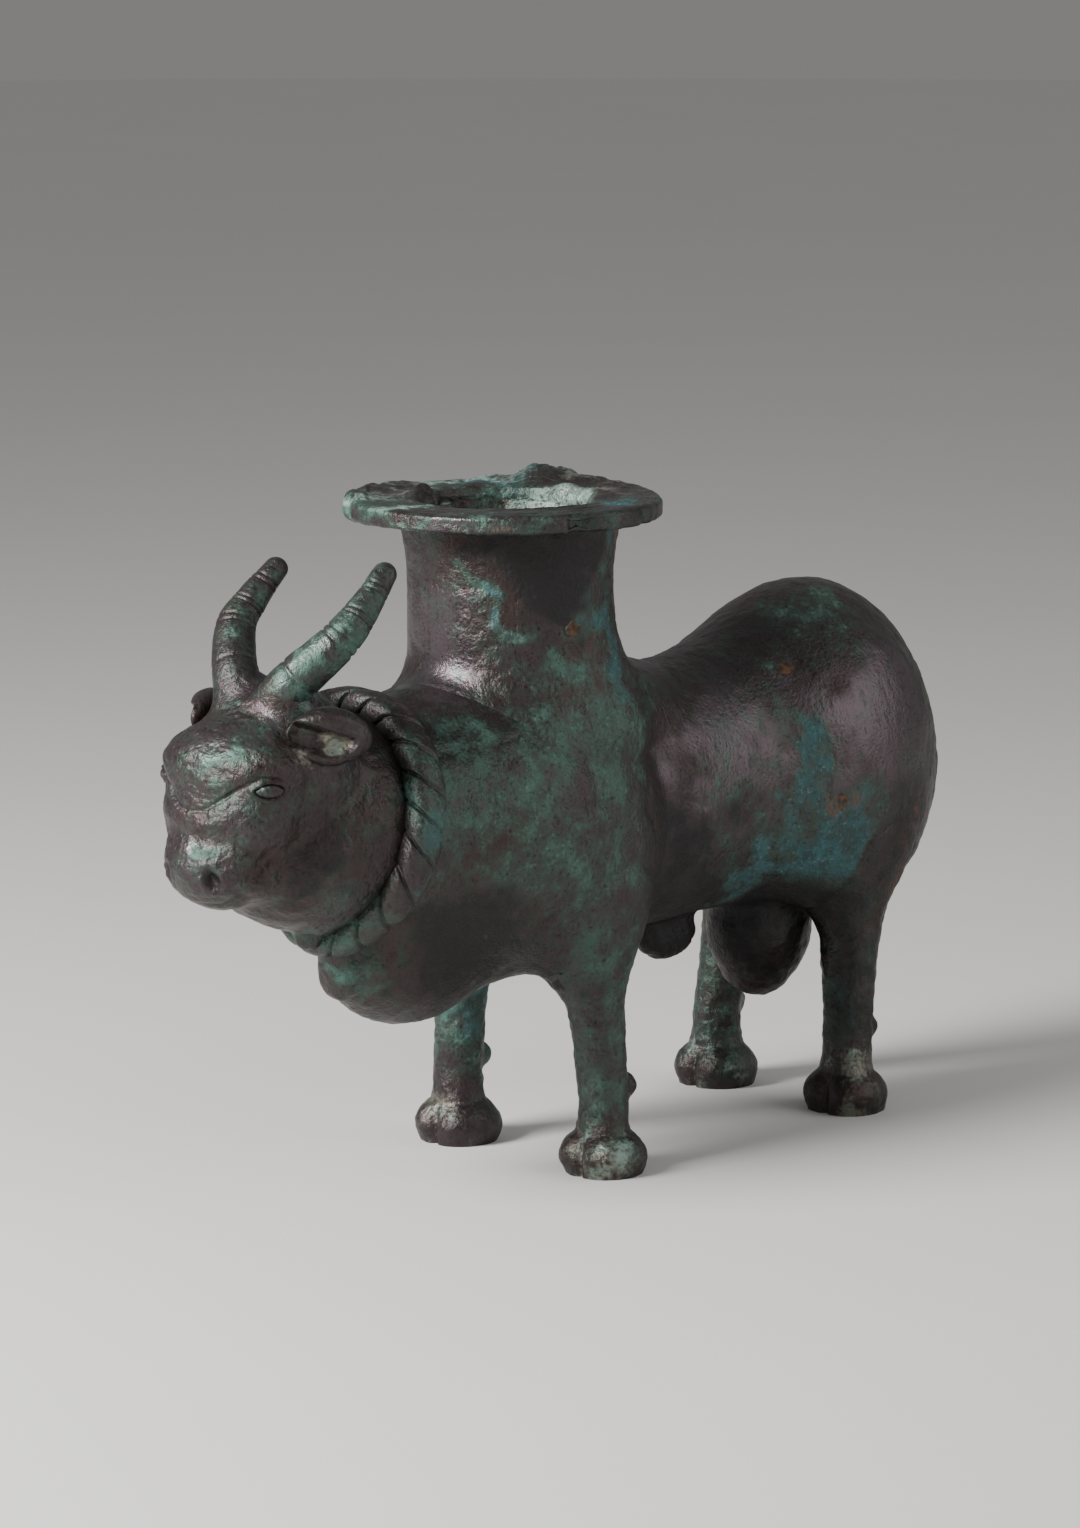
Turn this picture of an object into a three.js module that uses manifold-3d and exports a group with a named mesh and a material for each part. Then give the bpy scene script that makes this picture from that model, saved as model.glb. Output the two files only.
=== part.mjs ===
// A bronze vessel in the shape of a standing zebu bull: a hollow body with a wide flanged spout on the hump,
// and a head, collar, limbs and small parts that are cast by themselves and joined on.
// Millimetres, +Z up. The bull faces -Y, its left side is +X, and the spout stands on X = 0, Y = 0.

import * as THREE from 'three';
import { mergeVertices } from 'three/addons/utils/BufferGeometryUtils.js';
import Module from 'manifold-3d';

const wasm = await Module();
wasm.setup();

// Fits and walls
const CLEARANCE = 0.3; // gap between two pieces that meet
const BODY_WALL = 4;
const HEAD_WALL = 7;
const DOWEL_RADIUS = 2.6; // stub that holds a small part in the body's wall
const DOWEL_DEPTH = 3;

// Mouth: rim and spout
const HEIGHT = 214.4; // floor to the top of the rim
const RIM_RADIUS = 50;
const RIM_THICKNESS = 6.8;
const RIM_ROUNDING = 2.2; // round on the rim's outer corners
const RIM_REBATE = 3; // depth of the seat that takes the spout's upper lip
const CRUST_HALF = [17, 7, 5.4]; // half sizes of the raised crust on the rim, along it, across it and up
const CRUST_BEARING = 122; // its place round the rim, in degrees from +X
const SPOUT_RADIUS = 32.6;
const SPOUT_WALL = 5;
const SPOUT_FLARE = 2.2; // how much wider the spout is under the rim
const SPOUT_FLARE_HEIGHT = 20;
const SPOUT_OFFSET = [1.1, 1.1]; // the spout's outside off its bore, to the left and to the rear
const SPOUT_BLEND = { front: 8, rear: 36 }; // width over which it melts into the hump
const SPOUT_BLEND_Z = [121, 146]; // heights between which that width grows from nothing
const SPOUT_JOINT_Z = 168; // where the spout stands on the body
const SPIGOT_WALL = 2.4; // the spout's lips: a ring that fits inside the body and one inside the rim
const SPIGOT_DEPTH = 8;

// Stance: where the hooves stand
const FRONT_TRACK = 65.2;
const REAR_TRACK = 58.8;
const FRONT_HOOF_Y = 11.3;
const WHEELBASE = 120.2; // front hooves to rear hooves
const REAR_HOOF_Y = FRONT_HOOF_Y + WHEELBASE;

// Places along the body, measured from the hooves
const BARREL_SHARE = 0.4; // the barrel's middle, as a share of the way from the front hooves to the rear ones
const BARREL_OVERHANG = 20; // half the barrel's length, beyond half the wheelbase
const SHOULDER_AHEAD = 2.3; // ahead of the front hooves
const RUMP_BEHIND = 9.5; // behind the rear hooves
const HAUNCH_BEHIND = 5.5;
const SCROTUM_AHEAD = 11.5; // ahead of the rear hooves
const SHEATH_AHEAD = 57.5;
const FLANK_PIN_AHEAD = 17.5;
const SADDLE_PIN_AHEAD = 27.5;

// Masses of the body and head: the centre and half sizes of each ellipsoid
const CHEST = { centre: [0, -8, 111], half: [40, 46, 50] };
const BARREL = {
  centre: [0, FRONT_HOOF_Y + BARREL_SHARE * WHEELBASE, 112],
  half: [35, WHEELBASE / 2 + BARREL_OVERHANG, 43],
};
const RUMP = { centre: [0, REAR_HOOF_Y + RUMP_BEHIND, 121.5], half: [40, 43, 52.8] };
const SHOULDER = { centre: [25, FRONT_HOOF_Y - SHOULDER_AHEAD, 104], half: [20, 28, 46] };
const HAUNCH = { centre: [24, REAR_HOOF_Y + HAUNCH_BEHIND, 109], half: [17, 34, 42] };
const DEWLAP = { centre: [0, -43.5, 80], half: [21, 33.5, 28] };
const DEWLAP_KNOB = { centre: [0, -73, 72], half: [8, 5, 8] };
const CRANIUM = { centre: [0, -99, 140], half: [27, 25, 27] };
const CHEEKS = { centre: [0, -93, 114.5], half: [28, 27, 25] };
const FOREHEAD = { centre: [0, -117, 142], half: [26, 17.5, 14.5] };
const NOSE_BRIDGE = { centre: [0, -118, 128], half: [24, 18.5, 16] };
const MUZZLE = { centre: [0, -121.5, 114], half: [19.5, 17.3, 14.5] };
const THROAT = { centre: [0, -80, 99], half: [16, 17.5, 14.2] };
const SCROTUM = { centre: [0, REAR_HOOF_Y - SCROTUM_AHEAD, 62], half: [16, 19, 26] };
const SHEATH = { centre: [0, REAR_HOOF_Y - SHEATH_AHEAD, 65], half: [7.5, 13, 10] };
const NECK = { rear: [0, -20, 116], front: [0, -75, 121], rearRadius: 42, frontRadius: 33 };

// How softly each mass runs into the ones before it: the width of the blend
const BLEND = { barrel: 14, rump: 42, shoulder: 8, haunch: 14, neck: 16, dewlap: 10, knob: 3, leg: 9, head: 5 };
const FACE_BLEND = 5;
const HOOF_BLEND = 3.5;

// Lines inside the trunk and the head from which rays find their surfaces
const BODY_SPINE = { fromCollar: 7, startZ: 116, endZ: 118 };
const HEAD_SPINE = { start: [0, -81, 122], end: [0, -111, 128] };
const DEWLAP_SPINE_END = [0, -22, 60];

// Legs: the shape that the four share
const FRONT_SHANK = 7.9; // radius at the ankle
const REAR_SHANK = 8.4;
const FRONT_ROOT = 16; // radius at the top
const REAR_ROOT = 16;
const LEG_INSET = 6; // how far a leg leans inwards at its top
const FRONT_LEAN = -1.5; // how far it leans to the rear
const REAR_LEAN = 9;
const ANKLE_Z = 24;
const LEG_TOP_Z = 90;
const LEG_SWELL = 2.4; // power by which a leg thickens upwards
const PASTERN_FLARE = 2.5; // how much wider it is at the floor
const LEG_JOINT_Z = 60;
const LEG_TENON_RADIUS = 5.6;
const LEG_TENON_LENGTH = 10;
const LEG_STATIONS = [0, 2.5, 6, 10, 13, 17, 22, 27, 32, 40, 50]; // heights of the rings below the joint
const CLAW_HALF = [8.4, 11.6, 7.6];
const CLAW_SPREAD = 5.4; // each of the two claws from the leg's middle
const CLAW_REACH = 0.8; // forwards
const CLAW_Z = 6;
const HEEL_HALF = [9, 7, 7];
const HEEL_REACH = 5.5; // to the rear
const HEEL_Z = 4.5;
const DEWCLAW_HALF = [5, 4.6, 4.6];
const DEWCLAW_REACH = 8;
const DEWCLAW_Z = 27;

// Neck joint and collar
const COLLAR_CENTRE = [0, -70.5, 124];
const COLLAR_TILT = 12; // degrees that the collar's plane leans, its top to the rear
const COLLAR_HALF_WIDTH = 7;
const COLLAR_HALF_DEPTH = 5;
const COLLAR_STAND = 1.6; // the rope's middle above the neck's surface
const COLLAR_TURNS = 21; // oblique strands round the neck
const COLLAR_GROOVE = 0.2; // depth of the cuts between strands, as a share of the rope
const HEAD_TENON_RADIUS = 20;
const HEAD_TENON_LENGTH = 12;
const NECK_OVERLAP = 2; // how far the tenon and its hole pass the joint
const NECK_BORE = 14; // way from the head's hollow into the body's
const NECK_BORE_LENGTH = 40;

// Dewlap joint: a plane from the throat to the breast
const DEWLAP_JOINT_FRONT = [0, -76, 84];
const DEWLAP_JOINT_REAR = [0, -8, 57];
const DEWLAP_KEY_RADIUS = 5;
const DEWLAP_KEY_LENGTH = 6;
const DEWLAP_KEY_Y = -58;

// Horns, ears and eyes, for the left side
const HORN_PATH = [[5, -102, 154], [10.5, -105.5, 165], [22.5, -95, 180], [24.5, -86, 189], [24, -76.5, 198]];
const HORN_BASE_RADIUS = 8.8;
const HORN_TIP_RADIUS = 3.8;
const HORN_LIFT = 1.5; // the left horn's tip stands this much higher, and the right one's lower
const HORN_RINGS = 6;
const HORN_RING_DEPTH = 0.5;
const HORN_TENON_RADIUS = 4;
const HORN_TENON_DEPTH = 7;
const EAR_CENTRE = [26, -102, 153];
const EAR_WAY = [0.36, 0.92, -0.14]; // from the ear's root to its tip
const EAR_HALF = [5, 9, 14]; // half its thickness, height and length
const EAR_HOLLOW_HALF = [4, 5.8, 9.5];
const EAR_HOLLOW_OUT = 4.4; // the hollow's middle, outwards from the ear's
const EAR_HOLLOW_FORWARD = 1; // and towards the tip
const EAR_TENON_RADIUS = 3;
const EAR_TENON_DEPTH = 7;
const EYE_AIM = [0.89, -0.455, 0.02]; // from the middle of the head out through the eye
const EYE_ORIGIN = [0, -112, 138];
const EYE_HALF = [5.2, 3, 1.7];
const NOSTRIL_AT = [9.5, -135.5, 111];
const NOSTRIL_HALF = [2.2, 2.6, 2];

// Tail: it lies on the rump and swings to the left
const TAIL_TOP_Z = 164;
const TAIL_END_Z = 80;
const TAIL_SWING = 30; // degrees round the rump at its widest
const TAIL_SWAY = 0.6; // share of a half wave that the swing runs through
const TAIL_DOWEL_AT = 0.15; // share of its length from the top
const TAIL_RADIUS = 5.2;
const TAIL_TIP_RADIUS = 4;

// Core pins: square iron pins through the wall, set on edge, on both sides
const PIN_INSIDE = 2; // how far a pin stands into the hollow
const PINS = {
  flank: { y: REAR_HOOF_Y - FLANK_PIN_AHEAD, z: 107, size: 5.5 },
  saddle: { y: REAR_HOOF_Y - SADDLE_PIN_AHEAD, z: 151, size: 3.6 },
  spout: { y: -4, z: 176, size: 3.2 },
};

// Fineness of the surfaces
const BODY_MESH = { columns: 26, spans: 18, fan: 5 };
const HOLLOW_MESH = { columns: 16, spans: 8, fan: 4 };
const HEAD_MESH = { columns: 24, spans: 4, fan: 7 };
const DEWLAP_MESH = { columns: 18, spans: 6, fan: 5 };
const LEG_COLUMNS = 14;
const SPOUT_COLUMNS = 24;
const HANGING_COLUMNS = 13;
const SMALL_COLUMNS = 10;
const TENON_COLUMNS = 16;
const TAIL_COLUMNS = 8;
const COLLAR_COLUMNS = 8;
const GROOVE_STEPS = 30; // round the neck, for the seat that the collar lies in

const RIGHT = point([1, 0, 0]);
const UP = point([0, 0, 1]);
const REACH = 400; // larger than the whole vessel

const bore = SPOUT_RADIUS - SPOUT_WALL;
const spoutTop = HEIGHT - RIM_THICKNESS;
const frontLeg = {
  x: FRONT_TRACK / 2, y: FRONT_HOOF_Y, shank: FRONT_SHANK, root: FRONT_ROOT, lean: FRONT_LEAN,
};
const rearLeg = {
  x: REAR_TRACK / 2, y: REAR_HOOF_Y, shank: REAR_SHANK, root: REAR_ROOT, lean: REAR_LEAN,
};
const collarNormal = point([0, -1, 0]).applyAxisAngle(RIGHT, -THREE.MathUtils.degToRad(COLLAR_TILT));
const collarUp = UP.clone().applyAxisAngle(RIGHT, -THREE.MathUtils.degToRad(COLLAR_TILT));
const neckPlane = planeAt(point(COLLAR_CENTRE), collarNormal);
const dewlapNormal = point(DEWLAP_JOINT_REAR).sub(point(DEWLAP_JOINT_FRONT)).cross(RIGHT).normalize();
const dewlapPlane = planeAt(point(DEWLAP_JOINT_FRONT), dewlapNormal);

function point([x, y, z]) {
  return new THREE.Vector3(x, y, z);
}

function planeAt(onPlane, normal) {
  return new THREE.Plane().setFromNormalAndCoplanarPoint(normal, onPlane);
}

function mirrored([x, y, z], side) {
  return [side * x, y, z];
}

// Fields. Each gives how far a point lies outside a shape, and less than zero inside it.

function ellipsoid({ centre, half }) {
  const [hx, hy, hz] = half;
  return (p) => {
    const x = (p.x - centre[0]) / hx;
    const y = (p.y - centre[1]) / hy;
    const z = (p.z - centre[2]) / hz;
    const share = Math.hypot(x, y, z);
    return (share * (share - 1)) / Math.max(Math.hypot(x / hx, y / hy, z / hz), 1e-6);
  };
}

function taperedRod({ rear, front, rearRadius, frontRadius }) {
  const start = point(rear);
  const axis = point(front).sub(start);
  const along = new THREE.Vector3();
  return (p) => {
    const t = THREE.MathUtils.clamp(along.copy(p).sub(start).dot(axis) / axis.lengthSq(), 0, 1);
    along.addScaledVector(axis, -t);
    return along.length() - THREE.MathUtils.lerp(rearRadius, frontRadius, t);
  };
}

function spoutColumn(p) {
  const rise = THREE.MathUtils.clamp((p.z - spoutTop) / SPOUT_FLARE_HEIGHT + 1, 0, 1);
  const radius = SPOUT_RADIUS + SPOUT_FLARE * rise * rise;
  return Math.max(Math.hypot(p.x - SPOUT_OFFSET[0], p.y - SPOUT_OFFSET[1]) - radius, CHEST.centre[2] - p.z);
}

function legColumn(leg) {
  return (p) => {
    const rise = THREE.MathUtils.clamp((p.z - ANKLE_Z) / (LEG_TOP_Z - ANKLE_Z), 0, 1);
    const drop = THREE.MathUtils.clamp(1 - p.z / ANKLE_Z, 0, 1);
    const thigh = leg.shank + (leg.root - leg.shank) * rise ** LEG_SWELL;
    const x = Math.abs(p.x) - leg.x + LEG_INSET * rise;
    const y = p.y - leg.y - leg.lean * rise;
    const z = Math.max(p.z - LEG_TOP_Z, 0);
    return Math.hypot(x, y, z) - thigh - PASTERN_FLARE * drop * drop;
  };
}

function legField(leg) {
  const claws = [-1, 1].map((side) => ({
    centre: [leg.x + side * CLAW_SPREAD, leg.y - CLAW_REACH, CLAW_Z],
    half: CLAW_HALF,
  }));
  const heel = { centre: [leg.x, leg.y + HEEL_REACH, HEEL_Z], half: HEEL_HALF };
  const dewclaw = { centre: [leg.x, leg.y + DEWCLAW_REACH, DEWCLAW_Z], half: DEWCLAW_HALF };
  const foot = [...claws, heel, dewclaw].map((mass) => [bothSides(ellipsoid(mass)), HOOF_BLEND]);
  return blend(legColumn(leg), ...foot);
}

function bothSides(field) {
  const q = new THREE.Vector3();
  return (p) => field(q.set(Math.abs(p.x), p.y, p.z));
}

// The lesser of two distances, less a bulge where they differ by under the width.
function melt(first, second, width) {
  const overlap = Math.max(width - Math.abs(first - second), 0) / width;
  return Math.min(first, second) - overlap * overlap * width * 0.25;
}

// Runs fields together, each with the width over which it melts into those before it.
function blend(first, ...others) {
  return (p) => others.reduce((distance, [field, width]) => melt(distance, field(p), width), first(p));
}

const grown = (field, amount) => (p) => field(p) - amount;
const clipped = (field, plane, room = 0) => (p) => Math.max(field(p), plane.distanceToPoint(p) - room);
const flipped = (plane) => plane.clone().negate();

const barrelCore = blend(
  ellipsoid(CHEST),
  [ellipsoid(BARREL), BLEND.barrel],
  [ellipsoid(RUMP), BLEND.rump],
);
const quarters = blend(
  barrelCore,
  [bothSides(ellipsoid(SHOULDER)), BLEND.shoulder],
  [bothSides(ellipsoid(HAUNCH)), BLEND.haunch],
  [taperedRod(NECK), BLEND.neck],
);
const trunk = blend(
  quarters,
  [ellipsoid(DEWLAP), BLEND.dewlap],
  [ellipsoid(DEWLAP_KNOB), BLEND.knob],
);
const face = blend(
  ellipsoid(CRANIUM),
  [ellipsoid(CHEEKS), FACE_BLEND],
  [ellipsoid(FOREHEAD), FACE_BLEND],
  [ellipsoid(NOSE_BRIDGE), FACE_BLEND],
  [ellipsoid(MUZZLE), FACE_BLEND],
  [ellipsoid(THROAT), FACE_BLEND],
);
const throatLine = blend(quarters, [face, BLEND.head]);
const neckAndHead = blend(trunk, [face, BLEND.head]);
const hindAndFore = (leg) => blend(trunk, [legField(leg), BLEND.leg]);

// The spout rises sharply from the neck and runs out long over the back.
function trunkAndSpout(p) {
  const rearward = THREE.MathUtils.smoothstep(p.y, -SPOUT_RADIUS, SPOUT_RADIUS);
  const width = THREE.MathUtils.lerp(SPOUT_BLEND.front, SPOUT_BLEND.rear, rearward);
  const share = THREE.MathUtils.smoothstep(p.z, ...SPOUT_BLEND_Z);
  return melt(trunk(p), spoutColumn(p), Math.max(width * share, CLEARANCE));
}

// Surfaces. A row is a ring of points, and a skin closes a stack of rows with a point at each end.

function surfacePoint(field, origin, direction) {
  const step = 2;
  const probe = new THREE.Vector3();
  const outside = (t) => field(probe.copy(origin).addScaledVector(direction, t)) > 0;
  let inner = 0;
  let outer = step;
  while (!outside(outer) && outer < REACH) {
    inner = outer;
    outer += step;
  }
  for (let halving = 0; halving < 24; halving++) {
    const middle = (inner + outer) / 2;
    if (outside(middle)) outer = middle;
    else inner = middle;
  }
  return origin.clone().addScaledVector(direction, inner);
}

function surfaceNormal(field, p) {
  const gap = 0.05;
  const beside = (axis, distance) => field(p.clone().addScaledVector(axis, distance));
  const slope = (axis) => beside(axis, gap) - beside(axis, -gap);
  return point([slope(RIGHT), slope(point([0, 1, 0])), slope(UP)]).normalize();
}

function skin(rows, startPole, endPole) {
  const columns = rows[0].length;
  const vertices = [startPole, ...rows.flat(), endPole];
  const last = vertices.length - 1;
  const at = (row, column) => 1 + row * columns + (column % columns);
  const index = [];
  for (let c = 0; c < columns; c++) {
    index.push(0, at(0, c + 1), at(0, c));
    index.push(last, at(rows.length - 1, c), at(rows.length - 1, c + 1));
    for (let r = 0; r + 1 < rows.length; r++) {
      index.push(at(r, c), at(r, c + 1), at(r + 1, c + 1));
      index.push(at(r, c), at(r + 1, c + 1), at(r + 1, c));
    }
  }
  return new THREE.BufferGeometry().setFromPoints(vertices).setIndex(index);
}

// Two directions square to an axis, which make a right-handed set with it.
function crossAxes(axis, hint = UP) {
  const side = hint.clone().cross(axis).normalize();
  return [side, axis.clone().cross(side)];
}

function ring(columns, makePoint) {
  return Array.from({ length: columns }, (_, column) => makePoint((column / columns) * 2 * Math.PI));
}

// Rays square to a spine find the surface, and rays that fan out from its two ends close it.
function spineSkin(field, start, end, { columns, spans, fan }) {
  const axis = end.clone().sub(start).normalize();
  const [side, up] = crossAxes(axis);
  const cast = (origin, tilt) => ring(columns, (angle) => {
    const outwards = side.clone().multiplyScalar(Math.cos(angle)).addScaledVector(up, Math.sin(angle));
    const direction = outwards.multiplyScalar(Math.cos(tilt)).addScaledVector(axis, Math.sin(tilt));
    return surfacePoint(field, origin, direction);
  });
  const quarter = Math.PI / 2;
  const rows = [];
  for (let i = 1; i < fan; i++) rows.push(cast(start, (i / fan - 1) * quarter));
  for (let i = 0; i <= spans; i++) rows.push(cast(start.clone().lerp(end, i / spans), 0));
  for (let i = 1; i < fan; i++) rows.push(cast(end, (i / fan) * quarter));
  return skin(rows, surfacePoint(field, start, axis.clone().negate()), surfacePoint(field, end, axis));
}

// Level rays from an upright centre line find the surface at each height, out to a largest radius.
function levelSkin(field, centreAt, heights, columns, limit) {
  const rows = heights.map((z) => {
    const centre = centreAt(z);
    const limited = (p) => Math.max(field(p), p.distanceTo(centre) - limit);
    return ring(columns, (angle) => {
      const outwards = point([Math.cos(angle), Math.sin(angle), 0]);
      return surfacePoint(limited, centre, outwards);
    });
  });
  return skin(rows, centreAt(heights[0]), centreAt(heights.at(-1)));
}

// A round section whose radius changes along a curve, with a flattened start and a round tip.
function sweptSkin(curve, radiusAt, steps, columns) {
  const beyond = (t, distance) => curve.getPoint(t).addScaledVector(curve.getTangent(t), distance);
  const section = (t, distance, radius) => {
    const centre = beyond(t, distance);
    const [side, up] = crossAxes(curve.getTangent(t), RIGHT);
    return ring(columns, (angle) => centre.clone()
      .addScaledVector(side, radius * Math.cos(angle))
      .addScaledVector(up, radius * Math.sin(angle)));
  };
  const rows = evenly(0, 1, steps + 1).map((t) => section(t, 0, radiusAt(t)));
  const tip = radiusAt(1);
  rows.push(section(1, tip * Math.SQRT1_2, tip * Math.SQRT1_2));
  return skin(rows, beyond(0, -radiusAt(0) / 2), beyond(1, tip));
}

function evenly(from, to, count) {
  return Array.from({ length: count }, (_, i) => from + ((to - from) * i) / (count - 1));
}

// Solids, which can be joined and cut

function solid(geometry) {
  const bare = new THREE.BufferGeometry().setAttribute('position', geometry.getAttribute('position'));
  if (geometry.index) bare.setIndex(geometry.index);
  const merged = mergeVertices(bare, 1e-4);
  return new wasm.Manifold(new wasm.Mesh({
    numProp: 3,
    vertProperties: new Float32Array(merged.attributes.position.array),
    triVerts: new Uint32Array(merged.index.array),
  }));
}

function geometryOf(body) {
  const { vertProperties, triVerts, numProp } = body.getMesh();
  const geometry = new THREE.BufferGeometry();
  geometry.setAttribute('position', new THREE.BufferAttribute(new Float32Array(vertProperties), numProp));
  geometry.setIndex(new THREE.BufferAttribute(new Uint32Array(triVerts), 1));
  return geometry;
}

// All the room on the side of a plane that its normal points to.
function halfSpace(plane) {
  const box = new THREE.BoxGeometry(REACH, REACH, REACH);
  box.translate(0, 0, REACH / 2);
  box.applyQuaternion(new THREE.Quaternion().setFromUnitVectors(UP, plane.normal));
  const foot = plane.coplanarPoint(new THREE.Vector3());
  return solid(box.translate(foot.x, foot.y, foot.z));
}

const onAxis = (z) => point([0, 0, z]);
const above = (z) => halfSpace(planeAt(onAxis(z), UP));
const below = (z) => halfSpace(planeAt(onAxis(z), UP.clone().negate()));

function dowel(start, end, radius, columns = SMALL_COLUMNS) {
  const axis = end.clone().sub(start);
  const rod = new THREE.CylinderGeometry(radius, radius, axis.length(), columns);
  rod.applyQuaternion(new THREE.Quaternion().setFromUnitVectors(point([0, 1, 0]), axis.clone().normalize()));
  const middle = start.clone().lerp(end, 0.5);
  return solid(rod.translate(middle.x, middle.y, middle.z));
}

function egg({ centre, half }, turn = new THREE.Quaternion(), columns = SMALL_COLUMNS) {
  const ball = new THREE.SphereGeometry(1, columns, Math.ceil(columns * 0.6));
  ball.scale(...half).applyQuaternion(turn).translate(...centre);
  return solid(ball);
}

const enlarged = (half, amount) => half.map((size) => size + amount);

// Pieces

const legCentre = (leg, side) => (z) => {
  const rise = THREE.MathUtils.clamp((z - ANKLE_Z) / (LEG_TOP_Z - ANKLE_Z), 0, 1);
  return point([side * (leg.x - LEG_INSET * rise), leg.y + leg.lean * rise, z]);
};

function legTenon(leg, side, gap) {
  const foot = legCentre(leg, side)(LEG_JOINT_Z);
  const start = foot.clone().addScaledVector(UP, -LEG_TENON_LENGTH / 2);
  return dowel(start, foot.clone().addScaledVector(UP, LEG_TENON_LENGTH + gap), LEG_TENON_RADIUS + gap);
}

function legPiece(leg, side) {
  const heights = [...LEG_STATIONS, LEG_JOINT_Z];
  const whole = levelSkin(hindAndFore(leg), legCentre(leg, side), heights, LEG_COLUMNS, leg.root);
  return solid(whole).add(legTenon(leg, side, 0));
}

function legRoot(leg, side, gap) {
  const heights = evenly(LEG_JOINT_Z - CLEARANCE, LEG_TOP_Z + leg.root + BLEND.leg, 6);
  const surface = grown(hindAndFore(leg), gap);
  return solid(levelSkin(surface, legCentre(leg, side), heights, LEG_COLUMNS, leg.root + BLEND.leg));
}

// The rope's path lies in the neck plane, a little above the neck's surface.
const collarCentre = point(COLLAR_CENTRE);

function collarOut(angle) {
  return RIGHT.clone().multiplyScalar(Math.cos(angle)).addScaledVector(collarUp, Math.sin(angle));
}

function collarSkin(gap, turns, depth, steps) {
  const columns = COLLAR_COLUMNS;
  const vertices = [];
  const index = [];
  for (let i = 0; i < steps; i++) {
    const angle = (i / steps) * 2 * Math.PI;
    const outwards = collarOut(angle);
    const middle = surfacePoint(throatLine, collarCentre, outwards).addScaledVector(outwards, COLLAR_STAND);
    for (let j = 0; j < columns; j++) {
      const around = (j / columns) * 2 * Math.PI;
      const strand = 1 - depth * (1 - Math.abs(Math.sin((turns * angle - 2 * around) / 2)));
      vertices.push(middle.clone()
        .addScaledVector(outwards, (COLLAR_HALF_DEPTH + gap) * strand * Math.cos(around))
        .addScaledVector(collarNormal, (COLLAR_HALF_WIDTH + gap) * strand * Math.sin(around)));
      const at = (a, b) => (a % steps) * columns + (b % columns);
      index.push(at(i, j), at(i + 1, j), at(i + 1, j + 1));
      index.push(at(i, j), at(i + 1, j + 1), at(i, j + 1));
    }
  }
  return solid(new THREE.BufferGeometry().setFromPoints(vertices).setIndex(index));
}

const collarGroove = collarSkin(CLEARANCE, 0, 0, GROOVE_STEPS);
const neckStation = (distance) => collarCentre.clone().addScaledVector(collarNormal, distance);

// A round rod from a little before the neck plane back into the body.
function neckRod(length, radius) {
  return dowel(neckStation(NECK_OVERLAP), neckStation(-length), radius, TENON_COLUMNS);
}

function spoutPiece() {
  const heights = evenly(SPOUT_JOINT_Z, spoutTop, 7);
  const outer = solid(levelSkin(trunkAndSpout, onAxis, heights, SPOUT_COLUMNS, RIM_RADIUS));
  const lip = bore + SPIGOT_WALL;
  const bottom = onAxis(SPOUT_JOINT_Z - SPIGOT_DEPTH);
  const top = onAxis(spoutTop + RIM_REBATE);
  const lips = dowel(bottom, top, lip, SPOUT_COLUMNS);
  const through = dowel(bottom.clone().setZ(0), top.clone().setZ(REACH), bore, SPOUT_COLUMNS);
  return outer.add(lips).subtract(through);
}

// The rim's section: flat above and below, round at its outer corners, with a rebate for the spout's lip.
function rimPiece() {
  const low = spoutTop + CLEARANCE;
  const section = new THREE.Path();
  section.moveTo(bore, HEIGHT);
  section.lineTo(bore, low + RIM_REBATE);
  section.lineTo(bore + SPIGOT_WALL + CLEARANCE, low + RIM_REBATE);
  section.lineTo(bore + SPIGOT_WALL + CLEARANCE, low);
  section.lineTo(RIM_RADIUS - RIM_ROUNDING, low);
  section.absarc(RIM_RADIUS - RIM_ROUNDING, low + RIM_ROUNDING, RIM_ROUNDING, -Math.PI / 2, 0, false);
  section.absarc(RIM_RADIUS - RIM_ROUNDING, HEIGHT - RIM_ROUNDING, RIM_ROUNDING, 0, Math.PI / 2, false);
  section.lineTo(bore, HEIGHT);
  const flange = new THREE.LatheGeometry(section.getPoints(2), SPOUT_COLUMNS).rotateX(Math.PI / 2);
  const bearing = THREE.MathUtils.degToRad(CRUST_BEARING);
  const along = new THREE.Quaternion().setFromAxisAngle(UP, bearing + Math.PI / 2);
  const out = RIM_RADIUS - CRUST_HALF[1];
  const centre = [out * Math.cos(bearing), out * Math.sin(bearing), HEIGHT];
  const lump = egg({ centre, half: CRUST_HALF }, along).intersect(above(HEIGHT - RIM_ROUNDING));
  return solid(flange).add(lump);
}

const headSkin = (gap) => solid(spineSkin(
  clipped(grown(neckAndHead, gap), flipped(neckPlane), CLEARANCE + 2 * gap),
  point(HEAD_SPINE.start), point(HEAD_SPINE.end), HEAD_MESH,
));

const hornCurve = (side) => new THREE.CatmullRomCurve3(HORN_PATH.map(([x, y, z], i) => {
  const share = i / (HORN_PATH.length - 1);
  return point([side * x, y, z + side * HORN_LIFT * share * share]);
}));

function hornTenon(side, gap) {
  const curve = hornCurve(side);
  const start = surfacePoint(face, curve.getPoint(0), curve.getTangent(0));
  const inwards = curve.getTangent(0).negate();
  const inner = start.clone().addScaledVector(inwards, HORN_TENON_DEPTH + gap);
  return dowel(start.addScaledVector(inwards, -HORN_TENON_DEPTH / 2), inner, HORN_TENON_RADIUS + gap);
}

function hornPiece(side, headGauge) {
  const taper = (t) => {
    const ringed = Math.max(0, Math.cos(t * HORN_RINGS * 2 * Math.PI)) ** 4;
    return THREE.MathUtils.lerp(HORN_BASE_RADIUS, HORN_TIP_RADIUS, t) - HORN_RING_DEPTH * ringed;
  };
  const horn = solid(sweptSkin(hornCurve(side), taper, HORN_RINGS * 3, SMALL_COLUMNS));
  return horn.subtract(headGauge).add(hornTenon(side, 0));
}

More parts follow.
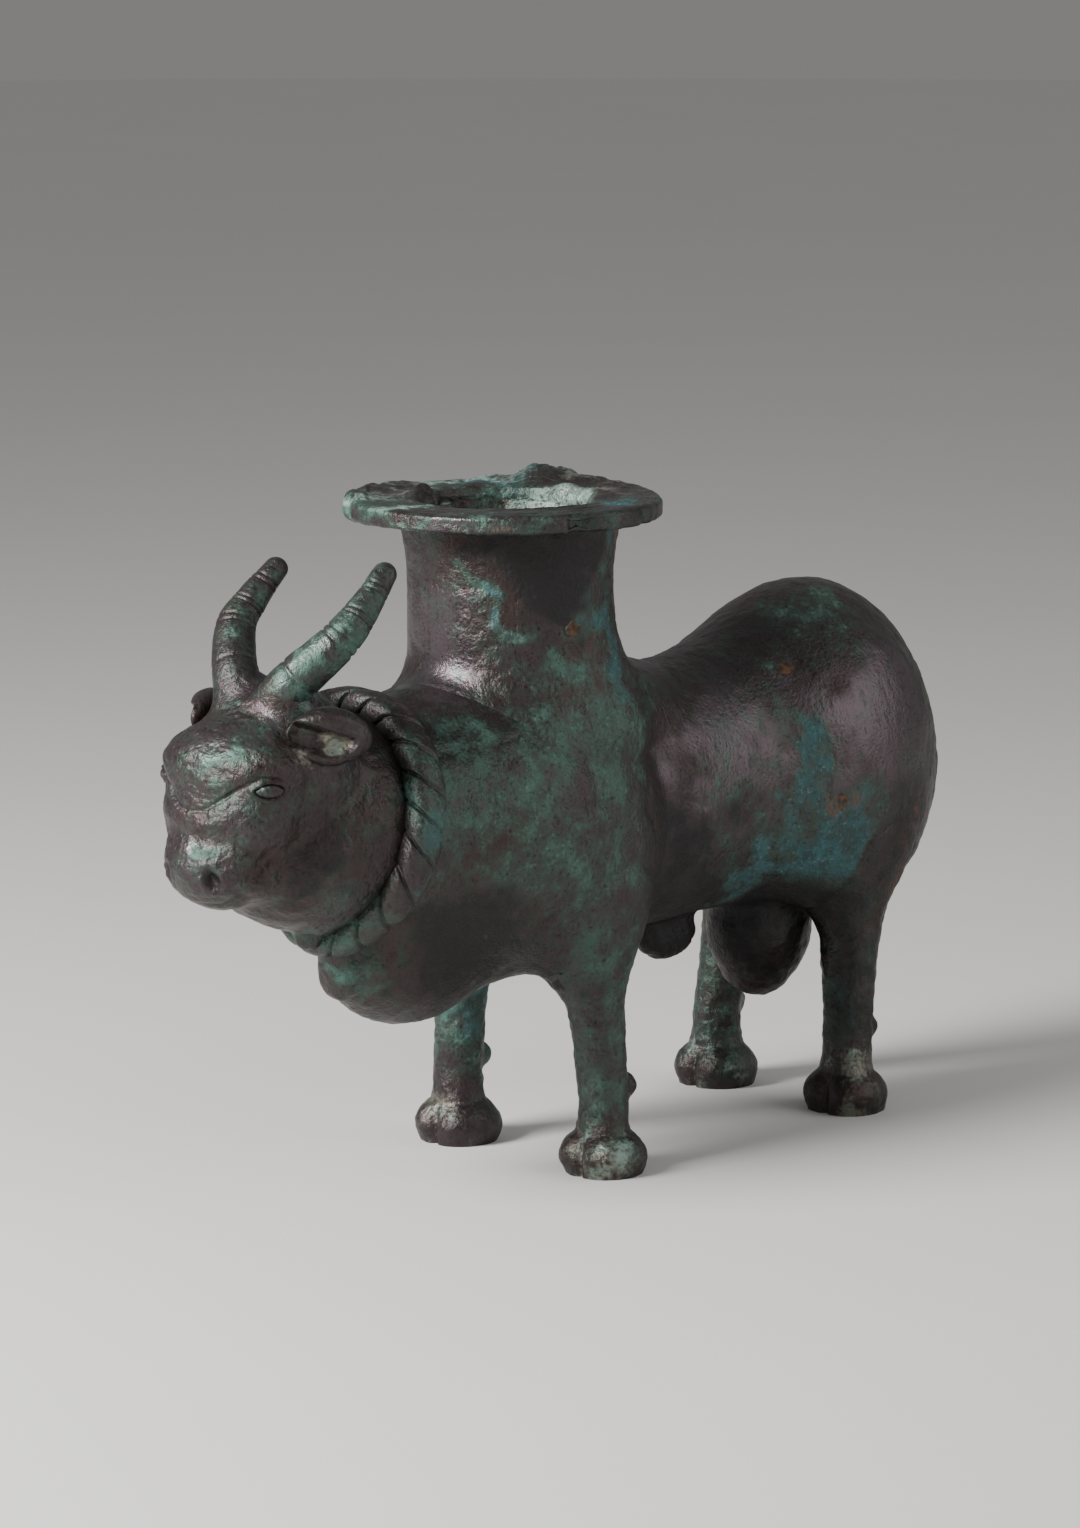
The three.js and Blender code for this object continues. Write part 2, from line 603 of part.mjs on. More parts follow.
// The ear's middle, its way to the tip, its way out from the head, and its turn.
function earFrame(side) {
  const way = point(mirrored(EAR_WAY, side)).normalize();
  const [across, up] = crossAxes(way);
  const turn = new THREE.Quaternion().setFromRotationMatrix(new THREE.Matrix4().makeBasis(across, up, way));
  return { middle: point(mirrored(EAR_CENTRE, side)), way, out: across.clone().multiplyScalar(-side), turn };
}

function earTenon(side, gap) {
  const { middle, out } = earFrame(side);
  const inner = middle.clone().addScaledVector(out, -EAR_TENON_DEPTH - gap);
  return dowel(middle.clone().addScaledVector(out, -CLEARANCE), inner, EAR_TENON_RADIUS + gap);
}

function earPiece(side, headGauge) {
  const { middle, way, out, turn } = earFrame(side);
  const leaf = egg({ centre: middle.toArray(), half: EAR_HALF }, turn);
  const cup = middle.clone().addScaledVector(out, EAR_HOLLOW_OUT).addScaledVector(way, EAR_HOLLOW_FORWARD);
  const hollow = egg({ centre: cup.toArray(), half: EAR_HOLLOW_HALF }, turn);
  return leaf.subtract(headGauge).add(earTenon(side, 0)).subtract(hollow);
}

function eye(side, gap) {
  const origin = point(mirrored(EYE_ORIGIN, side));
  const centre = surfacePoint(face, origin, point(mirrored(EYE_AIM, side)).normalize());
  const normal = surfaceNormal(face, centre);
  const [along, up] = crossAxes(normal);
  const turn = new THREE.Quaternion().setFromRotationMatrix(new THREE.Matrix4().makeBasis(along, up, normal));
  return egg({ centre: centre.toArray(), half: enlarged(EYE_HALF, gap) }, turn);
}

function headPiece() {
  const tenon = neckRod(HEAD_TENON_LENGTH, HEAD_TENON_RADIUS);
  const hollow = egg({ centre: CRANIUM.centre, half: enlarged(CRANIUM.half, -HEAD_WALL) });
  const passage = dowel(neckStation(-HEAD_TENON_LENGTH * 2), point(CRANIUM.centre), NECK_BORE, TENON_COLUMNS);
  let head = headSkin(0).intersect(halfSpace(neckPlane)).subtract(collarGroove).add(tenon);
  head = head.subtract(hollow).subtract(passage);
  for (const side of [1, -1]) {
    head = head.subtract(hornTenon(side, CLEARANCE)).subtract(earTenon(side, CLEARANCE));
    head = head.subtract(eye(side, CLEARANCE));
    head = head.subtract(egg({ centre: mirrored(NOSTRIL_AT, side), half: NOSTRIL_HALF }));
  }
  return head;
}

const onDewlapPlane = (p) => dewlapPlane.projectPoint(point(p), new THREE.Vector3());
const dewlapKeyFoot = onDewlapPlane([0, DEWLAP_KEY_Y, DEWLAP_JOINT_FRONT[2]]);
const dewlapKey = (gap) => dowel(
  dewlapKeyFoot.clone().addScaledVector(dewlapNormal, DEWLAP_KEY_LENGTH),
  dewlapKeyFoot.clone().addScaledVector(dewlapNormal, -DEWLAP_KEY_LENGTH - gap),
  DEWLAP_KEY_RADIUS + gap,
);

function dewlapPiece() {
  const low = clipped(trunk, flipped(dewlapPlane), CLEARANCE);
  const start = dewlapKeyFoot.clone().addScaledVector(dewlapNormal, 1);
  const end = onDewlapPlane(DEWLAP_SPINE_END).addScaledVector(dewlapNormal, 1);
  const flap = solid(spineSkin(low, start, end, DEWLAP_MESH));
  const seated = flap.intersect(halfSpace(dewlapPlane)).subtract(collarGroove);
  return seated.subtract(halfSpace(planeAt(neckStation(-CLEARANCE), collarNormal))).add(dewlapKey(0));
}

// The tail's line: level rays from the rump's middle, turned to the left lower down.
function tailCurve() {
  const stations = evenly(0, 1, 8).map((t) => {
    const z = THREE.MathUtils.lerp(TAIL_TOP_Z, TAIL_END_Z, t);
    const swing = THREE.MathUtils.degToRad(TAIL_SWING) * Math.sin(t * Math.PI * TAIL_SWAY);
    const outwards = point([Math.sin(swing), Math.cos(swing), 0]);
    return surfacePoint(trunk, point([0, RUMP.centre[1], z]), outwards);
  });
  return new THREE.CatmullRomCurve3(stations);
}

function tailDowel(gap) {
  const root = tailCurve().getPoint(TAIL_DOWEL_AT);
  const normal = surfaceNormal(trunk, root);
  const inner = root.clone().addScaledVector(normal, -DOWEL_DEPTH - gap);
  return dowel(root.addScaledVector(normal, TAIL_RADIUS / 2), inner, DOWEL_RADIUS + gap);
}

function tailPiece(bodyGauge) {
  const taper = (t) => THREE.MathUtils.lerp(TAIL_RADIUS, TAIL_TIP_RADIUS, t);
  return solid(sweptSkin(tailCurve(), taper, 14, TAIL_COLUMNS)).subtract(bodyGauge).add(tailDowel(0));
}

function hangingDowel({ centre }, gap) {
  const root = surfacePoint(trunk, point([0, centre[1], BARREL.centre[2]]), UP.clone().negate());
  const inner = root.clone().addScaledVector(UP, DOWEL_DEPTH + gap);
  return dowel(root.addScaledVector(UP, -DOWEL_DEPTH), inner, DOWEL_RADIUS + gap);
}

function hangingPiece(mass, bodyGauge) {
  const drop = egg(mass, undefined, HANGING_COLUMNS);
  return drop.subtract(bodyGauge).add(hangingDowel(mass, 0));
}

function corePin({ y, z, size }, field, wall, side, gap) {
  const surface = surfacePoint(field, point([0, y, z]), point([side, 0, 0]));
  const normal = surfaceNormal(field, surface);
  const length = wall + PIN_INSIDE;
  const bar = new THREE.BoxGeometry(size + 2 * gap, size + 2 * gap, length + 2 * gap);
  const [along, up] = crossAxes(normal);
  bar.rotateZ(Math.PI / 4).applyMatrix4(new THREE.Matrix4().makeBasis(along, up, normal));
  const middle = surface.addScaledVector(normal, -length / 2);
  return solid(bar.translate(middle.x, middle.y, middle.z));
}

const pinField = (place) => (place === 'spout' ? trunkAndSpout : trunk);
const pinWall = (place) => (place === 'spout' ? SPOUT_WALL : BODY_WALL);
const pin = (place, side, gap) => corePin(PINS[place], pinField(place), pinWall(place), side, gap);

const bodyStart = point([0, COLLAR_CENTRE[1] + BODY_SPINE.fromCollar, BODY_SPINE.startZ]);
const bodyEnd = point([0, RUMP.centre[1], BODY_SPINE.endZ]);
const bodySkin = (gap) => solid(spineSkin(
  clipped(grown(neckAndHead, gap), neckPlane, CLEARANCE + 2 * gap),
  bodyStart, bodyEnd, BODY_MESH,
));

function bodyWithRoots(gap) {
  let body = bodySkin(gap);
  for (const side of [1, -1]) body = body.add(legRoot(frontLeg, side, gap)).add(legRoot(rearLeg, side, gap));
  return body;
}

function bodyPiece() {
  const cavity = solid(spineSkin(
    grown(barrelCore, -BODY_WALL), point(CHEST.centre), bodyEnd, HOLLOW_MESH,
  ));
  const spoutHeights = evenly(SPOUT_BLEND_Z[0], SPOUT_JOINT_Z + CLEARANCE, 8);
  const spoutReach = SPOUT_RADIUS + SPOUT_BLEND.rear;
  const spoutRoot = levelSkin(trunkAndSpout, onAxis, spoutHeights, SPOUT_COLUMNS, spoutReach);
  let body = bodyWithRoots(0).add(solid(spoutRoot));
  const neckRoom = planeAt(neckStation(-CLEARANCE), collarNormal);
  const dewlapRoom = planeAt(dewlapKeyFoot.clone().addScaledVector(dewlapNormal, -CLEARANCE), dewlapNormal);
  const foreHalf = halfSpace(planeAt(point(DEWLAP_JOINT_REAR), point([0, -1, 0])));
  const breast = halfSpace(dewlapRoom).intersect(foreHalf);
  const mouth = onAxis(CHEST.centre[2]);
  const lipSeat = onAxis(SPOUT_JOINT_Z - SPIGOT_DEPTH - CLEARANCE);
  const spoutSeat = onAxis(SPOUT_JOINT_Z - CLEARANCE);
  const top = onAxis(REACH);
  body = body.subtract(cavity)
    .subtract(dowel(mouth, top, bore, SPOUT_COLUMNS))
    .subtract(dowel(lipSeat, top, bore + SPIGOT_WALL + CLEARANCE, SPOUT_COLUMNS))
    .subtract(dowel(spoutSeat, top, spoutReach, SPOUT_COLUMNS))
    .subtract(below(LEG_JOINT_Z + CLEARANCE))
    .subtract(halfSpace(neckRoom))
    .subtract(breast)
    .subtract(collarGroove)
    .subtract(dewlapKey(CLEARANCE))
    .subtract(neckRod(HEAD_TENON_LENGTH + CLEARANCE, HEAD_TENON_RADIUS + CLEARANCE))
    .subtract(neckRod(NECK_BORE_LENGTH, NECK_BORE))
    .subtract(tailDowel(CLEARANCE))
    .subtract(hangingDowel(SCROTUM, CLEARANCE))
    .subtract(hangingDowel(SHEATH, CLEARANCE));
  for (const side of [1, -1]) {
    body = body.subtract(legTenon(frontLeg, side, CLEARANCE)).subtract(legTenon(rearLeg, side, CLEARANCE));
    body = body.subtract(pin('flank', side, CLEARANCE)).subtract(pin('saddle', side, CLEARANCE));
  }
  return body;
}

// The bull, piece by piece, each with its own finish
const FINISH = {
  brown: { color: 0x4a3a36, roughness: 0.45, metalness: 0.85 },
  green: { color: 0x4f6d62, roughness: 0.6, metalness: 0.6 },
  dark: { color: 0x2f3a3a, roughness: 0.5, metalness: 0.7 },
  rust: { color: 0x8a5a34, roughness: 0.85, metalness: 0.2 },
};
const bull = new THREE.Group();

function place(name, body, finish) {
  const mesh = new THREE.Mesh(geometryOf(body), new THREE.MeshStandardMaterial(FINISH[finish]));
  mesh.name = name;
  bull.add(mesh);
}

const headGauge = headSkin(CLEARANCE);
const bodyGauge = bodyWithRoots(CLEARANCE);
const sides = { left: 1, right: -1 };

place('body_shell', bodyPiece(), 'brown');
let spout = spoutPiece();
for (const side of Object.values(sides)) spout = spout.subtract(pin('spout', side, CLEARANCE));
place('spout', spout, 'dark');
place('rim', rimPiece(), 'green');
place('head', headPiece(), 'brown');
place('collar', collarSkin(0, COLLAR_TURNS, COLLAR_GROOVE, COLLAR_TURNS * 3), 'green');
place('dewlap', dewlapPiece(), 'dark');
place('tail', tailPiece(bodyGauge), 'brown');
place('scrotum', hangingPiece(SCROTUM, bodyGauge), 'dark');
place('sheath', hangingPiece(SHEATH, bodyGauge), 'dark');
for (const [name, side] of Object.entries(sides)) {
  place(`horn_${name}`, hornPiece(side, headGauge), 'green');
  place(`ear_${name}`, earPiece(side, headGauge), 'brown');
  place(`eye_${name}`, eye(side, 0), 'dark');
  place(`leg_front_${name}`, legPiece(frontLeg, side), 'green');
  place(`leg_rear_${name}`, legPiece(rearLeg, side), 'green');
  for (const spot of Object.keys(PINS)) place(`core_pin_${spot}_${name}`, pin(spot, side, 0), 'rust');
}

// The part's origin is on the floor under the middle of the whole vessel.
const box = new THREE.Box3().setFromObject(bull);
const middle = box.getCenter(new THREE.Vector3());
bull.position.set(-middle.x, -middle.y, -box.min.z);

const vessel = new THREE.Group();
vessel.add(bull);

export default vessel;
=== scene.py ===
"""A cast bronze vessel in the shape of a standing zebu bull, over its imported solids, in a plain studio.

Shapes are worked out in millimetres in the bull's own frame: it faces -Y, its left side is +X, the floor is
Z = 0 and the axis of the spout is X = Y = 0. They go into the shared frame, in metres, when a mesh is made.
"""

import itertools
from collections import namedtuple

import bpy
import numpy as np
from bpy.props import FloatProperty, FloatVectorProperty, IntProperty, PointerProperty
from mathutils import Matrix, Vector


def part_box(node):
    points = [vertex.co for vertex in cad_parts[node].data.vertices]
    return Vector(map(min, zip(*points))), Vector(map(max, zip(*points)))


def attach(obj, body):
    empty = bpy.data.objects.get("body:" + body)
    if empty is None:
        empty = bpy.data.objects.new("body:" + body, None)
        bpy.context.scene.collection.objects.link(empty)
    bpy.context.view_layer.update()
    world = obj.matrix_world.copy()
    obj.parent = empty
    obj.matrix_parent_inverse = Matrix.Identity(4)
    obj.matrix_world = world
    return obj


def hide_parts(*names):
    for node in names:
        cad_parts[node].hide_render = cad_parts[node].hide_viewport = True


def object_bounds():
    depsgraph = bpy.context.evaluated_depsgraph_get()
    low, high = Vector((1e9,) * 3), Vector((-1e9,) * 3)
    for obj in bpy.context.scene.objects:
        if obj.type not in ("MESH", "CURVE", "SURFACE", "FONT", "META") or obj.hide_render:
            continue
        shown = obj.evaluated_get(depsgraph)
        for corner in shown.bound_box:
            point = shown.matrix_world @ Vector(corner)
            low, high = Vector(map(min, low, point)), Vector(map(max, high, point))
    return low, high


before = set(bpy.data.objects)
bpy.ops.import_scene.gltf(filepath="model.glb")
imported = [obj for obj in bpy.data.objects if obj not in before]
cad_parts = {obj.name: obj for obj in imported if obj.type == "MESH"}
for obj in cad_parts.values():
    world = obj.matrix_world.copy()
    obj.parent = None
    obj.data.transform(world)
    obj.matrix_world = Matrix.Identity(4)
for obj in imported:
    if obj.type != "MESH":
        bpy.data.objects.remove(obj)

bl_info = {
    "name": "Bronze bull vessel",
    "version": (1, 0, 0),
    "blender": (4, 5, 0),
    "location": "3D View > Sidebar > Bull",
    "description": "Builds a cast bronze vessel in the shape of a zebu bull and a plain studio round it",
    "category": "Add Mesh",
}

# The shared frame
MM = 0.001
CAD_BOX = [list(corner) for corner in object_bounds()]
RIM_LOW, RIM_HIGH = (np.array(corner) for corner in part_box("rim"))
SPOUT_FOOT = np.array([(RIM_LOW[0] + RIM_HIGH[0]) / 2, (RIM_LOW[1] + RIM_HIGH[1]) / 2, 0.0])
BOX_MARGIN = 0.02 * MM

# Masses of the body and head: centre and half sizes of each ellipsoid, in millimetres
CHEST = ((0, -8, 111), (40, 46, 50))
BARREL = ((0, 59.38, 112), (35, 80.1, 43))
RUMP = ((0, 141, 121.5), (40, 43, 52.8))
SHOULDER = ((25, 9, 104), (20, 28, 46))
HAUNCH = ((24, 137, 109), (17, 34, 42))
DEWLAP = ((0, -43.5, 80), (21, 33.5, 28))
DEWLAP_KNOB = ((0, -73, 72), (8, 5, 8))
CRANIUM = ((0, -99, 140), (27, 25, 27))
CHEEKS = ((0, -93, 114.5), (28, 27, 25))
FOREHEAD = ((0, -117, 142), (26, 17.5, 14.5))
NOSE_BRIDGE = ((0, -118, 128), (24, 18.5, 16))
MUZZLE = ((0, -121.5, 114), (19.5, 17.3, 14.5))
THROAT = ((0, -80, 99), (16, 17.5, 14.2))
THROAT_NUB = ((0, -86, 85.5), (4.5, 5, 4))
SCROTUM = ((0, 120, 62), (16, 19, 26))
SHEATH = ((0, 74, 65), (7.5, 13, 10))
NECK = ((0, -20, 116), (0, -75, 121), 42, 33)

# How softly each mass runs into the ones before it: the width of the blend
BLEND = {
    "barrel": 14, "rump": 42, "shoulder": 8, "haunch": 14, "neck": 16, "dewlap": 10, "knob": 3,
    "face": 5, "nub": 2, "poll": 6, "leg": 9, "underpart": 4,
}
FOOT_BLENDS = (4, 4, 4.5, 2.4)

# Spout and rim
SPOUT_RADIUS = 32.6
SPOUT_FLARE = 2.2
SPOUT_FLARE_HEIGHT = 20
SPOUT_OFFSET = 1.1
SPOUT_BLEND_FRONT = 8
SPOUT_BLEND_REAR = 36
SPOUT_BLEND_HEIGHTS = (121, 146)
SPOUT_BLEND_LEAST = 0.3
SPOUT_REACH = SPOUT_RADIUS + SPOUT_BLEND_REAR
SPOUT_TOP = 207.6
SPOUT_JOINT = 168
SPOUT_ROOT_SUNKEN = (118, 144, 14)
SPOUT_ROOT_START = 145
BORE = 27.6
RIM_TOP = 214.4
RIM_THICKNESS = 6.5
RIM_ROUNDING = 1.6
RIM_GAP = 0.4
CHIPPED_RADII = (46, 50)
RIM_EASING = ((3.5, 0), (1.2, 0.9), (RIM_GAP, 3))
WELL_FLOOR = 78
CRUST_BEARING = np.radians(78)
CRUST_SPREAD = np.radians(52)
CRUST_BANK = 7
BORE_CRUST = 0.4

# Legs
Leg = namedtuple("Leg", "x y shank root lean")
FRONT_LEG = Leg(32.6, 11.3, 7.9, 16, -1.5)
REAR_LEG = Leg(29.4, 131.5, 8.4, 16, 9)
LEG_INSET = 6
ANKLE = 24
LEG_TOP = 90
LEG_SWELL = 2.4
LEG_JOINT = 60
LEG_ROOT_RISE = 8
LEG_ROOT_REACH = 9
LEG_REACH = 4
PASTERN_FLARE = 3.4
CLAW_HALF = (8.4, 11.6, 7.6)
CLAW_SPREAD = 5.4
CLAW_REACH = 0.8
CLAW_HEIGHT = 6
HEEL_HALF = (9, 7, 7)
HEEL_REACH = 5.5
HEEL_HEIGHT = 4.5
DEWCLAW_HALF = (5, 4.6, 4.6)
DEWCLAW_REACH = 8
DEWCLAW_HEIGHT = 27
CLEFT_SHARE = 0.14
CLEFT_WIDTH = 1.3
CORONET_SHARE = 0.05
CORONET_HEIGHT = 13.5
CORONET_WIDTH = 1.2

# Neck joint and collar
COLLAR_CENTRE = np.array([0, -70.5, 124])
COLLAR_TILT = np.radians(12)
COLLAR_WAY = np.array([0, -np.cos(COLLAR_TILT), np.sin(COLLAR_TILT)])
COLLAR_UP = np.array([0, np.sin(COLLAR_TILT), np.cos(COLLAR_TILT)])
COLLAR_STAND = 1.6
COLLAR_HALF_DEPTH = 5
COLLAR_HALF_WIDTH = 6.9
DEWLAP_JOINT_FRONT = np.array([0, -76, 84])
DEWLAP_JOINT_REAR = np.array([0, -8, 57])

# How far neighbouring skins run past a joint, the later one dipping under the other
OVERLAP = 6
NECK_OVERLAP = 2

# Lines inside the body, the dewlap and the head from which rays find their surfaces
BODY_SPINE = (COLLAR_CENTRE + np.array([0, 7, -8]), np.array([0, RUMP[0][1], 118.0]))
DEWLAP_SPINE = (np.array([0, -60.0, 80]), np.array([0, -26.0, 68]))
HEAD_SPINE = (np.array([0, -81.0, 122]), np.array([0, -111.0, 128]))

# Horns, ears, eyes, tail and pins, for the left side
HORN_PATH = np.array([
    (5, -102, 154), (10.5, -105.5, 165), (22.5, -95, 180), (24.5, -86, 189), (24, -76.5, 198),
])
HORN_LIFT = 1.5
HORN_RADII = (8.8, 3.8)
HORN_LINES = (0.24, 0.33, 0.50, 0.54, 0.66, 0.70, 0.86, 0.90)
HORN_LINE_SHARE = 0.006
POLL_RADIUS = HORN_RADII[0] - 0.6
POLL_TAPER = 0.9
HEAD_RELIEF = 0.7
EAR_CENTRE = np.array([26.0, -102.0, 153.0])
EAR_WAY = np.array([0.36, 0.92, -0.14])
EAR_HALF = np.array([14.0, 9.0, 5.0])
EAR_CUP = ((-15, 5.6), (-15, -5.0), (1.5, -7.4), (7.6, -4.4), (9.6, 0.8))
EAR_CUP_DEPTH = 4.2
EYE_ORIGIN = np.array([0.0, -112.0, 138.0])
EYE_AIM = np.array([0.89, -0.455, 0.02])
EYE_HALF = np.array([4.3, 2.2, 1.6])
EYE_DEPTH = 0.3
EYE_POINT = 0.3
EYE_FADE = 8
TAIL_ENDS = (166, 78)
TAIL_SWING = np.radians(34)
TAIL_SWAY = 0.6
TAIL_RADII = (5.2, 4)
TAIL_SPREAD = 1.9
TAIL_STAND = 0.92
TAIL_EDGE_DROP = 0.45
TAIL_ROOT_SHARE = 0.3
TAIL_TIP_SHARE = 0.12
TAIL_INSIDE = 2.2
PINS = {"flank": (114, 107, 5.5), "saddle": (104, 151, 3.6), "spout": (-4, 176, 3.2)}
# From a pin's root to its end: height above the skin and share of its full reach
PIN_SECTION = ((-6, 1), (-4, 1), (-2, 1), (-0.5, 1), (0.05, 1), (0.15, 0.93), (0.22, 0.6), (0.25, 0.2))

# Fineness of skins found along a spine: columns, rows of the first fan, spans, and rows of the last fan
BODY_MESH = (216, 14, 204, 74)
DEWLAP_MESH = (150, 56, 46, 56)
HEAD_MESH = (288, 30, 60, 150)

# Fineness of the other skins: rows and columns
LEG_ROOT_MESH = (64, 60)
LEG_MESH = (124, 104)
SPOUT_MESH = (64, 220)
SPOUT_ROOT_MESH = (60, 208)
BORE_ROWS = 56
RIM_MESH = (120, 360)
COLLAR_MESH = (560, 56)
HORN_MESH = (190, 84)
HORN_TIP_ROWS = 14
EAR_MESH = (90, 120)
EYE_MESH = (40, 56)
TAIL_MESH = (150, 33)
UNDERPART_MESH = (90, 84)
PIN_COLUMNS = 40

UP = np.array([0.0, 0.0, 1.0])
SIDES = {"left": 1, "right": -1}


def linear(hex_colour):
    """Linear colour of an sRGB hex value."""
    share = np.array([int(hex_colour[i : i + 2], 16) for i in (0, 2, 4)]) / 255
    return tuple(np.where(share <= 0.04045, share / 12.92, ((share + 0.055) / 1.055) ** 2.4))


# Vectors


def length(v):
    """Lengths of vectors."""
    return np.sqrt((v * v).sum(axis=-1))


def unit(v):
    """Vectors of length one."""
    return v / length(v)[..., None]


def folded(p):
    """Points with those of the right side mirrored to the left."""
    q = p.copy()
    q[..., 0] = np.abs(q[..., 0])
    return q


# Noise, on a lattice that is turned away from the bull's own axes
GRAIN_WAY = unit(np.array([0.6, 0.5, 0.62]))
GRAIN_SIDE = unit(np.cross(GRAIN_WAY, np.array([0.2, -0.9, 0.4])))
GRAIN_TURN = np.stack([GRAIN_WAY, GRAIN_SIDE, np.cross(GRAIN_WAY, GRAIN_SIDE)], axis=-1)
LAYER_SHIFT = 19.7

# Uneven surfaces: height and size in millimetres, seed, and layers of detail
Noise = namedtuple("Noise", "height size seed layers")
BROAD_DENTS = Noise(0.45, 30, 1, 2)
SMALL_DENTS = Noise(0.18, 9, 2, 2)
GRAIN = Noise(0.21, 2.8, 3, 2)
SCALE = Noise(0.17, 4.2, 4, 3)
SCALE_LIFT = 0.102
BORE_ROUGHNESS = Noise(1.1, 9, 23, 4)
BANK_ROUGHNESS = Noise(1.6, 8, 29, 3)
RIM_CHIPS = Noise(1.0, 12, 41, 3)
RIM_SCORES = Noise(0.18, 1.5, 43, 2)
LUMP_ROUGHNESS = Noise(0.36, 7, 47, 4)
COLLAR_SWELL = Noise(0.35, 8, 53, 3)
HORN_DENTS = Noise(0.14, 8, 59, 3)
EAR_DENTS = Noise(0.3, 6, 73, 3)
EAR_FLOOR = Noise(0.9, 3.5, 79, 3)
PIN_GRAIN = Noise(0.16, 1.6, 89, 2)
WRINKLES = Noise(0.42, 4.5, 97, 4)
WRINKLE_STRETCH = np.array([0.7, 1, 1.3])

# Unevenness of the marks of age and of the painted light and shade: the first shifts the patches by
# millimetres, the others change a strength
RAGGED_EDGES = tuple(Noise(11, 16, seed, 4) for seed in (61, 67, 71))
CLOUDS = Noise(0.16, 26, 31, 4)
CRUST_EDGE = Noise(0.25, 7, 5, 3)
EAR_EARTH = Noise(0.5, 4, 101, 3)

# Pits: depth and spacing in millimetres, and seed
Pits = namedtuple("Pits", "depth spacing seed")
LARGE_PITS = Pits(0.42, 6.5, 11)
SMALL_PITS = Pits(0.42, 3.4, 17)
HORN_PITS = Pits(0.15, 5, 83)


def corner_value(cell, seed):
    """A repeatable number from 0 to 1 for each lattice corner: its place, mixed by odd factors."""
    x, y, z = (cell[..., axis].astype(np.uint32) for axis in range(3))
    mixed = x * np.uint32(374761393) + y * np.uint32(668265263) + z * np.uint32(2246822519)
    mixed = mixed + np.uint32(seed * 40503 % 65521)
    mixed = (mixed ^ (mixed >> np.uint32(13))) * np.uint32(1274126177)
    mixed = (mixed ^ (mixed >> np.uint32(15))) * np.uint32(2246822519)
    return (mixed >> np.uint32(8)) / 2.0**24


def uneven(p, noise):
    """Cloudy noise, about one height up and down: lattice values run together, with finer, weaker layers."""
    total = np.zeros(p.shape[:-1])
    for layer in range(noise.layers):
        q = p @ GRAIN_TURN * (2**layer / noise.size) + LAYER_SHIFT * layer
        cell = np.floor(q).astype(np.int64)
        share = q - cell
        share = share**3 * (share * (share * 6 - 15) + 10)
        for corner in itertools.product((0, 1), repeat=3):
            weight = np.prod(np.where(np.array(corner) == 1, share, 1 - share), axis=-1)
            total += weight * (corner_value(cell + corner, noise.seed + 7 * layer) - 0.5) * 0.5**layer
    return noise.height * (total * 2)


def pitted(p, pits):
    """Round hollows strewn over space: deepest at a jittered place in each cell, 0 from half a cell away."""
    q = p @ GRAIN_TURN / pits.spacing
    cell = np.floor(q).astype(np.int64)
    nearest = np.full(p.shape[:-1], 9.0)
    for step in itertools.product((-1, 0, 1), repeat=3):
        near = cell + step
        jitter = np.stack([corner_value(near, pits.seed + axis) for axis in range(3)], axis=-1)
        nearest = np.minimum(nearest, ((q - near - jitter) ** 2).sum(axis=-1))
    return pits.depth * np.clip(1 - np.sqrt(nearest) * 2, 0, 1)


def bell(offset, width):
    """1 at no offset, falling away smoothly on both sides: about a third is left at one width."""
    return np.exp(-((offset / width) ** 2))


def ramp(value, low, high):
    """0 below the low end, 1 above the high end, and a smooth step between them."""
    share = np.clip((value - low) / (high - low), 0, 1)
    return share * share * (3 - 2 * share)


# Fields: how far points lie outside a shape, below zero inside it


def egg(p, mass):
    """An ellipsoid: the share of its half sizes that a point reaches, turned into a length."""
    centre, half = (np.array(part, dtype=float) for part in mass)
    q = (p - centre) / half
    share = length(q)
    return share * (share - 1) / np.maximum(length(q / half), 1e-6)


def rod(p, ends):
    """A tapered rod with round ends: the distance from its middle line less the radius there."""
    start, end, start_radius, end_radius = ends
    start = np.array(start, dtype=float)
    axis = np.array(end, dtype=float) - start
    share = np.clip((p - start) @ axis / (axis @ axis), 0, 1)
    return length(p - start - share[..., None] * axis) - (start_radius + (end_radius - start_radius) * share)


def melt(first, second, width):
    """Two fields run together: the lesser, less a bulge where they differ by under the width."""
    overlap = np.maximum(width - np.abs(first - second), 0) / width
    return np.minimum(first, second) - overlap * overlap * width * 0.25


def quarters(p):
    """Chest, barrel and rump with the shoulders, haunches and neck run into them."""
    sides = folded(p)
    d = melt(egg(p, CHEST), egg(p, BARREL), BLEND["barrel"])
    d = melt(d, egg(p, RUMP), BLEND["rump"])
    d = melt(d, egg(sides, SHOULDER), BLEND["shoulder"])
    d = melt(d, egg(sides, HAUNCH), BLEND["haunch"])
    return melt(d, rod(p, NECK), BLEND["neck"])


def trunk(p):
    """The quarters with the dewlap and the knob at its front."""
    d = melt(quarters(p), egg(p, DEWLAP), BLEND["dewlap"])
    return melt(d, egg(p, DEWLAP_KNOB), BLEND["knob"])


def face(p):
    """The head's masses run together, with the nub under the throat and the horns' roots at the poll."""
    d = egg(p, CRANIUM)
    for mass in (CHEEKS, FOREHEAD, NOSE_BRIDGE, MUZZLE, THROAT):
        d = melt(d, egg(p, mass), BLEND["face"])
    d = melt(d, egg(p, THROAT_NUB), BLEND["nub"])
    horn_root = rod(folded(p), (HORN_PATH[0], HORN_PATH[1], POLL_RADIUS, POLL_RADIUS * POLL_TAPER))
    return melt(d, horn_root, BLEND["poll"])


def neck_and_head(p):
    """The trunk and the face run together."""
    return melt(trunk(p), face(p), BLEND["face"])


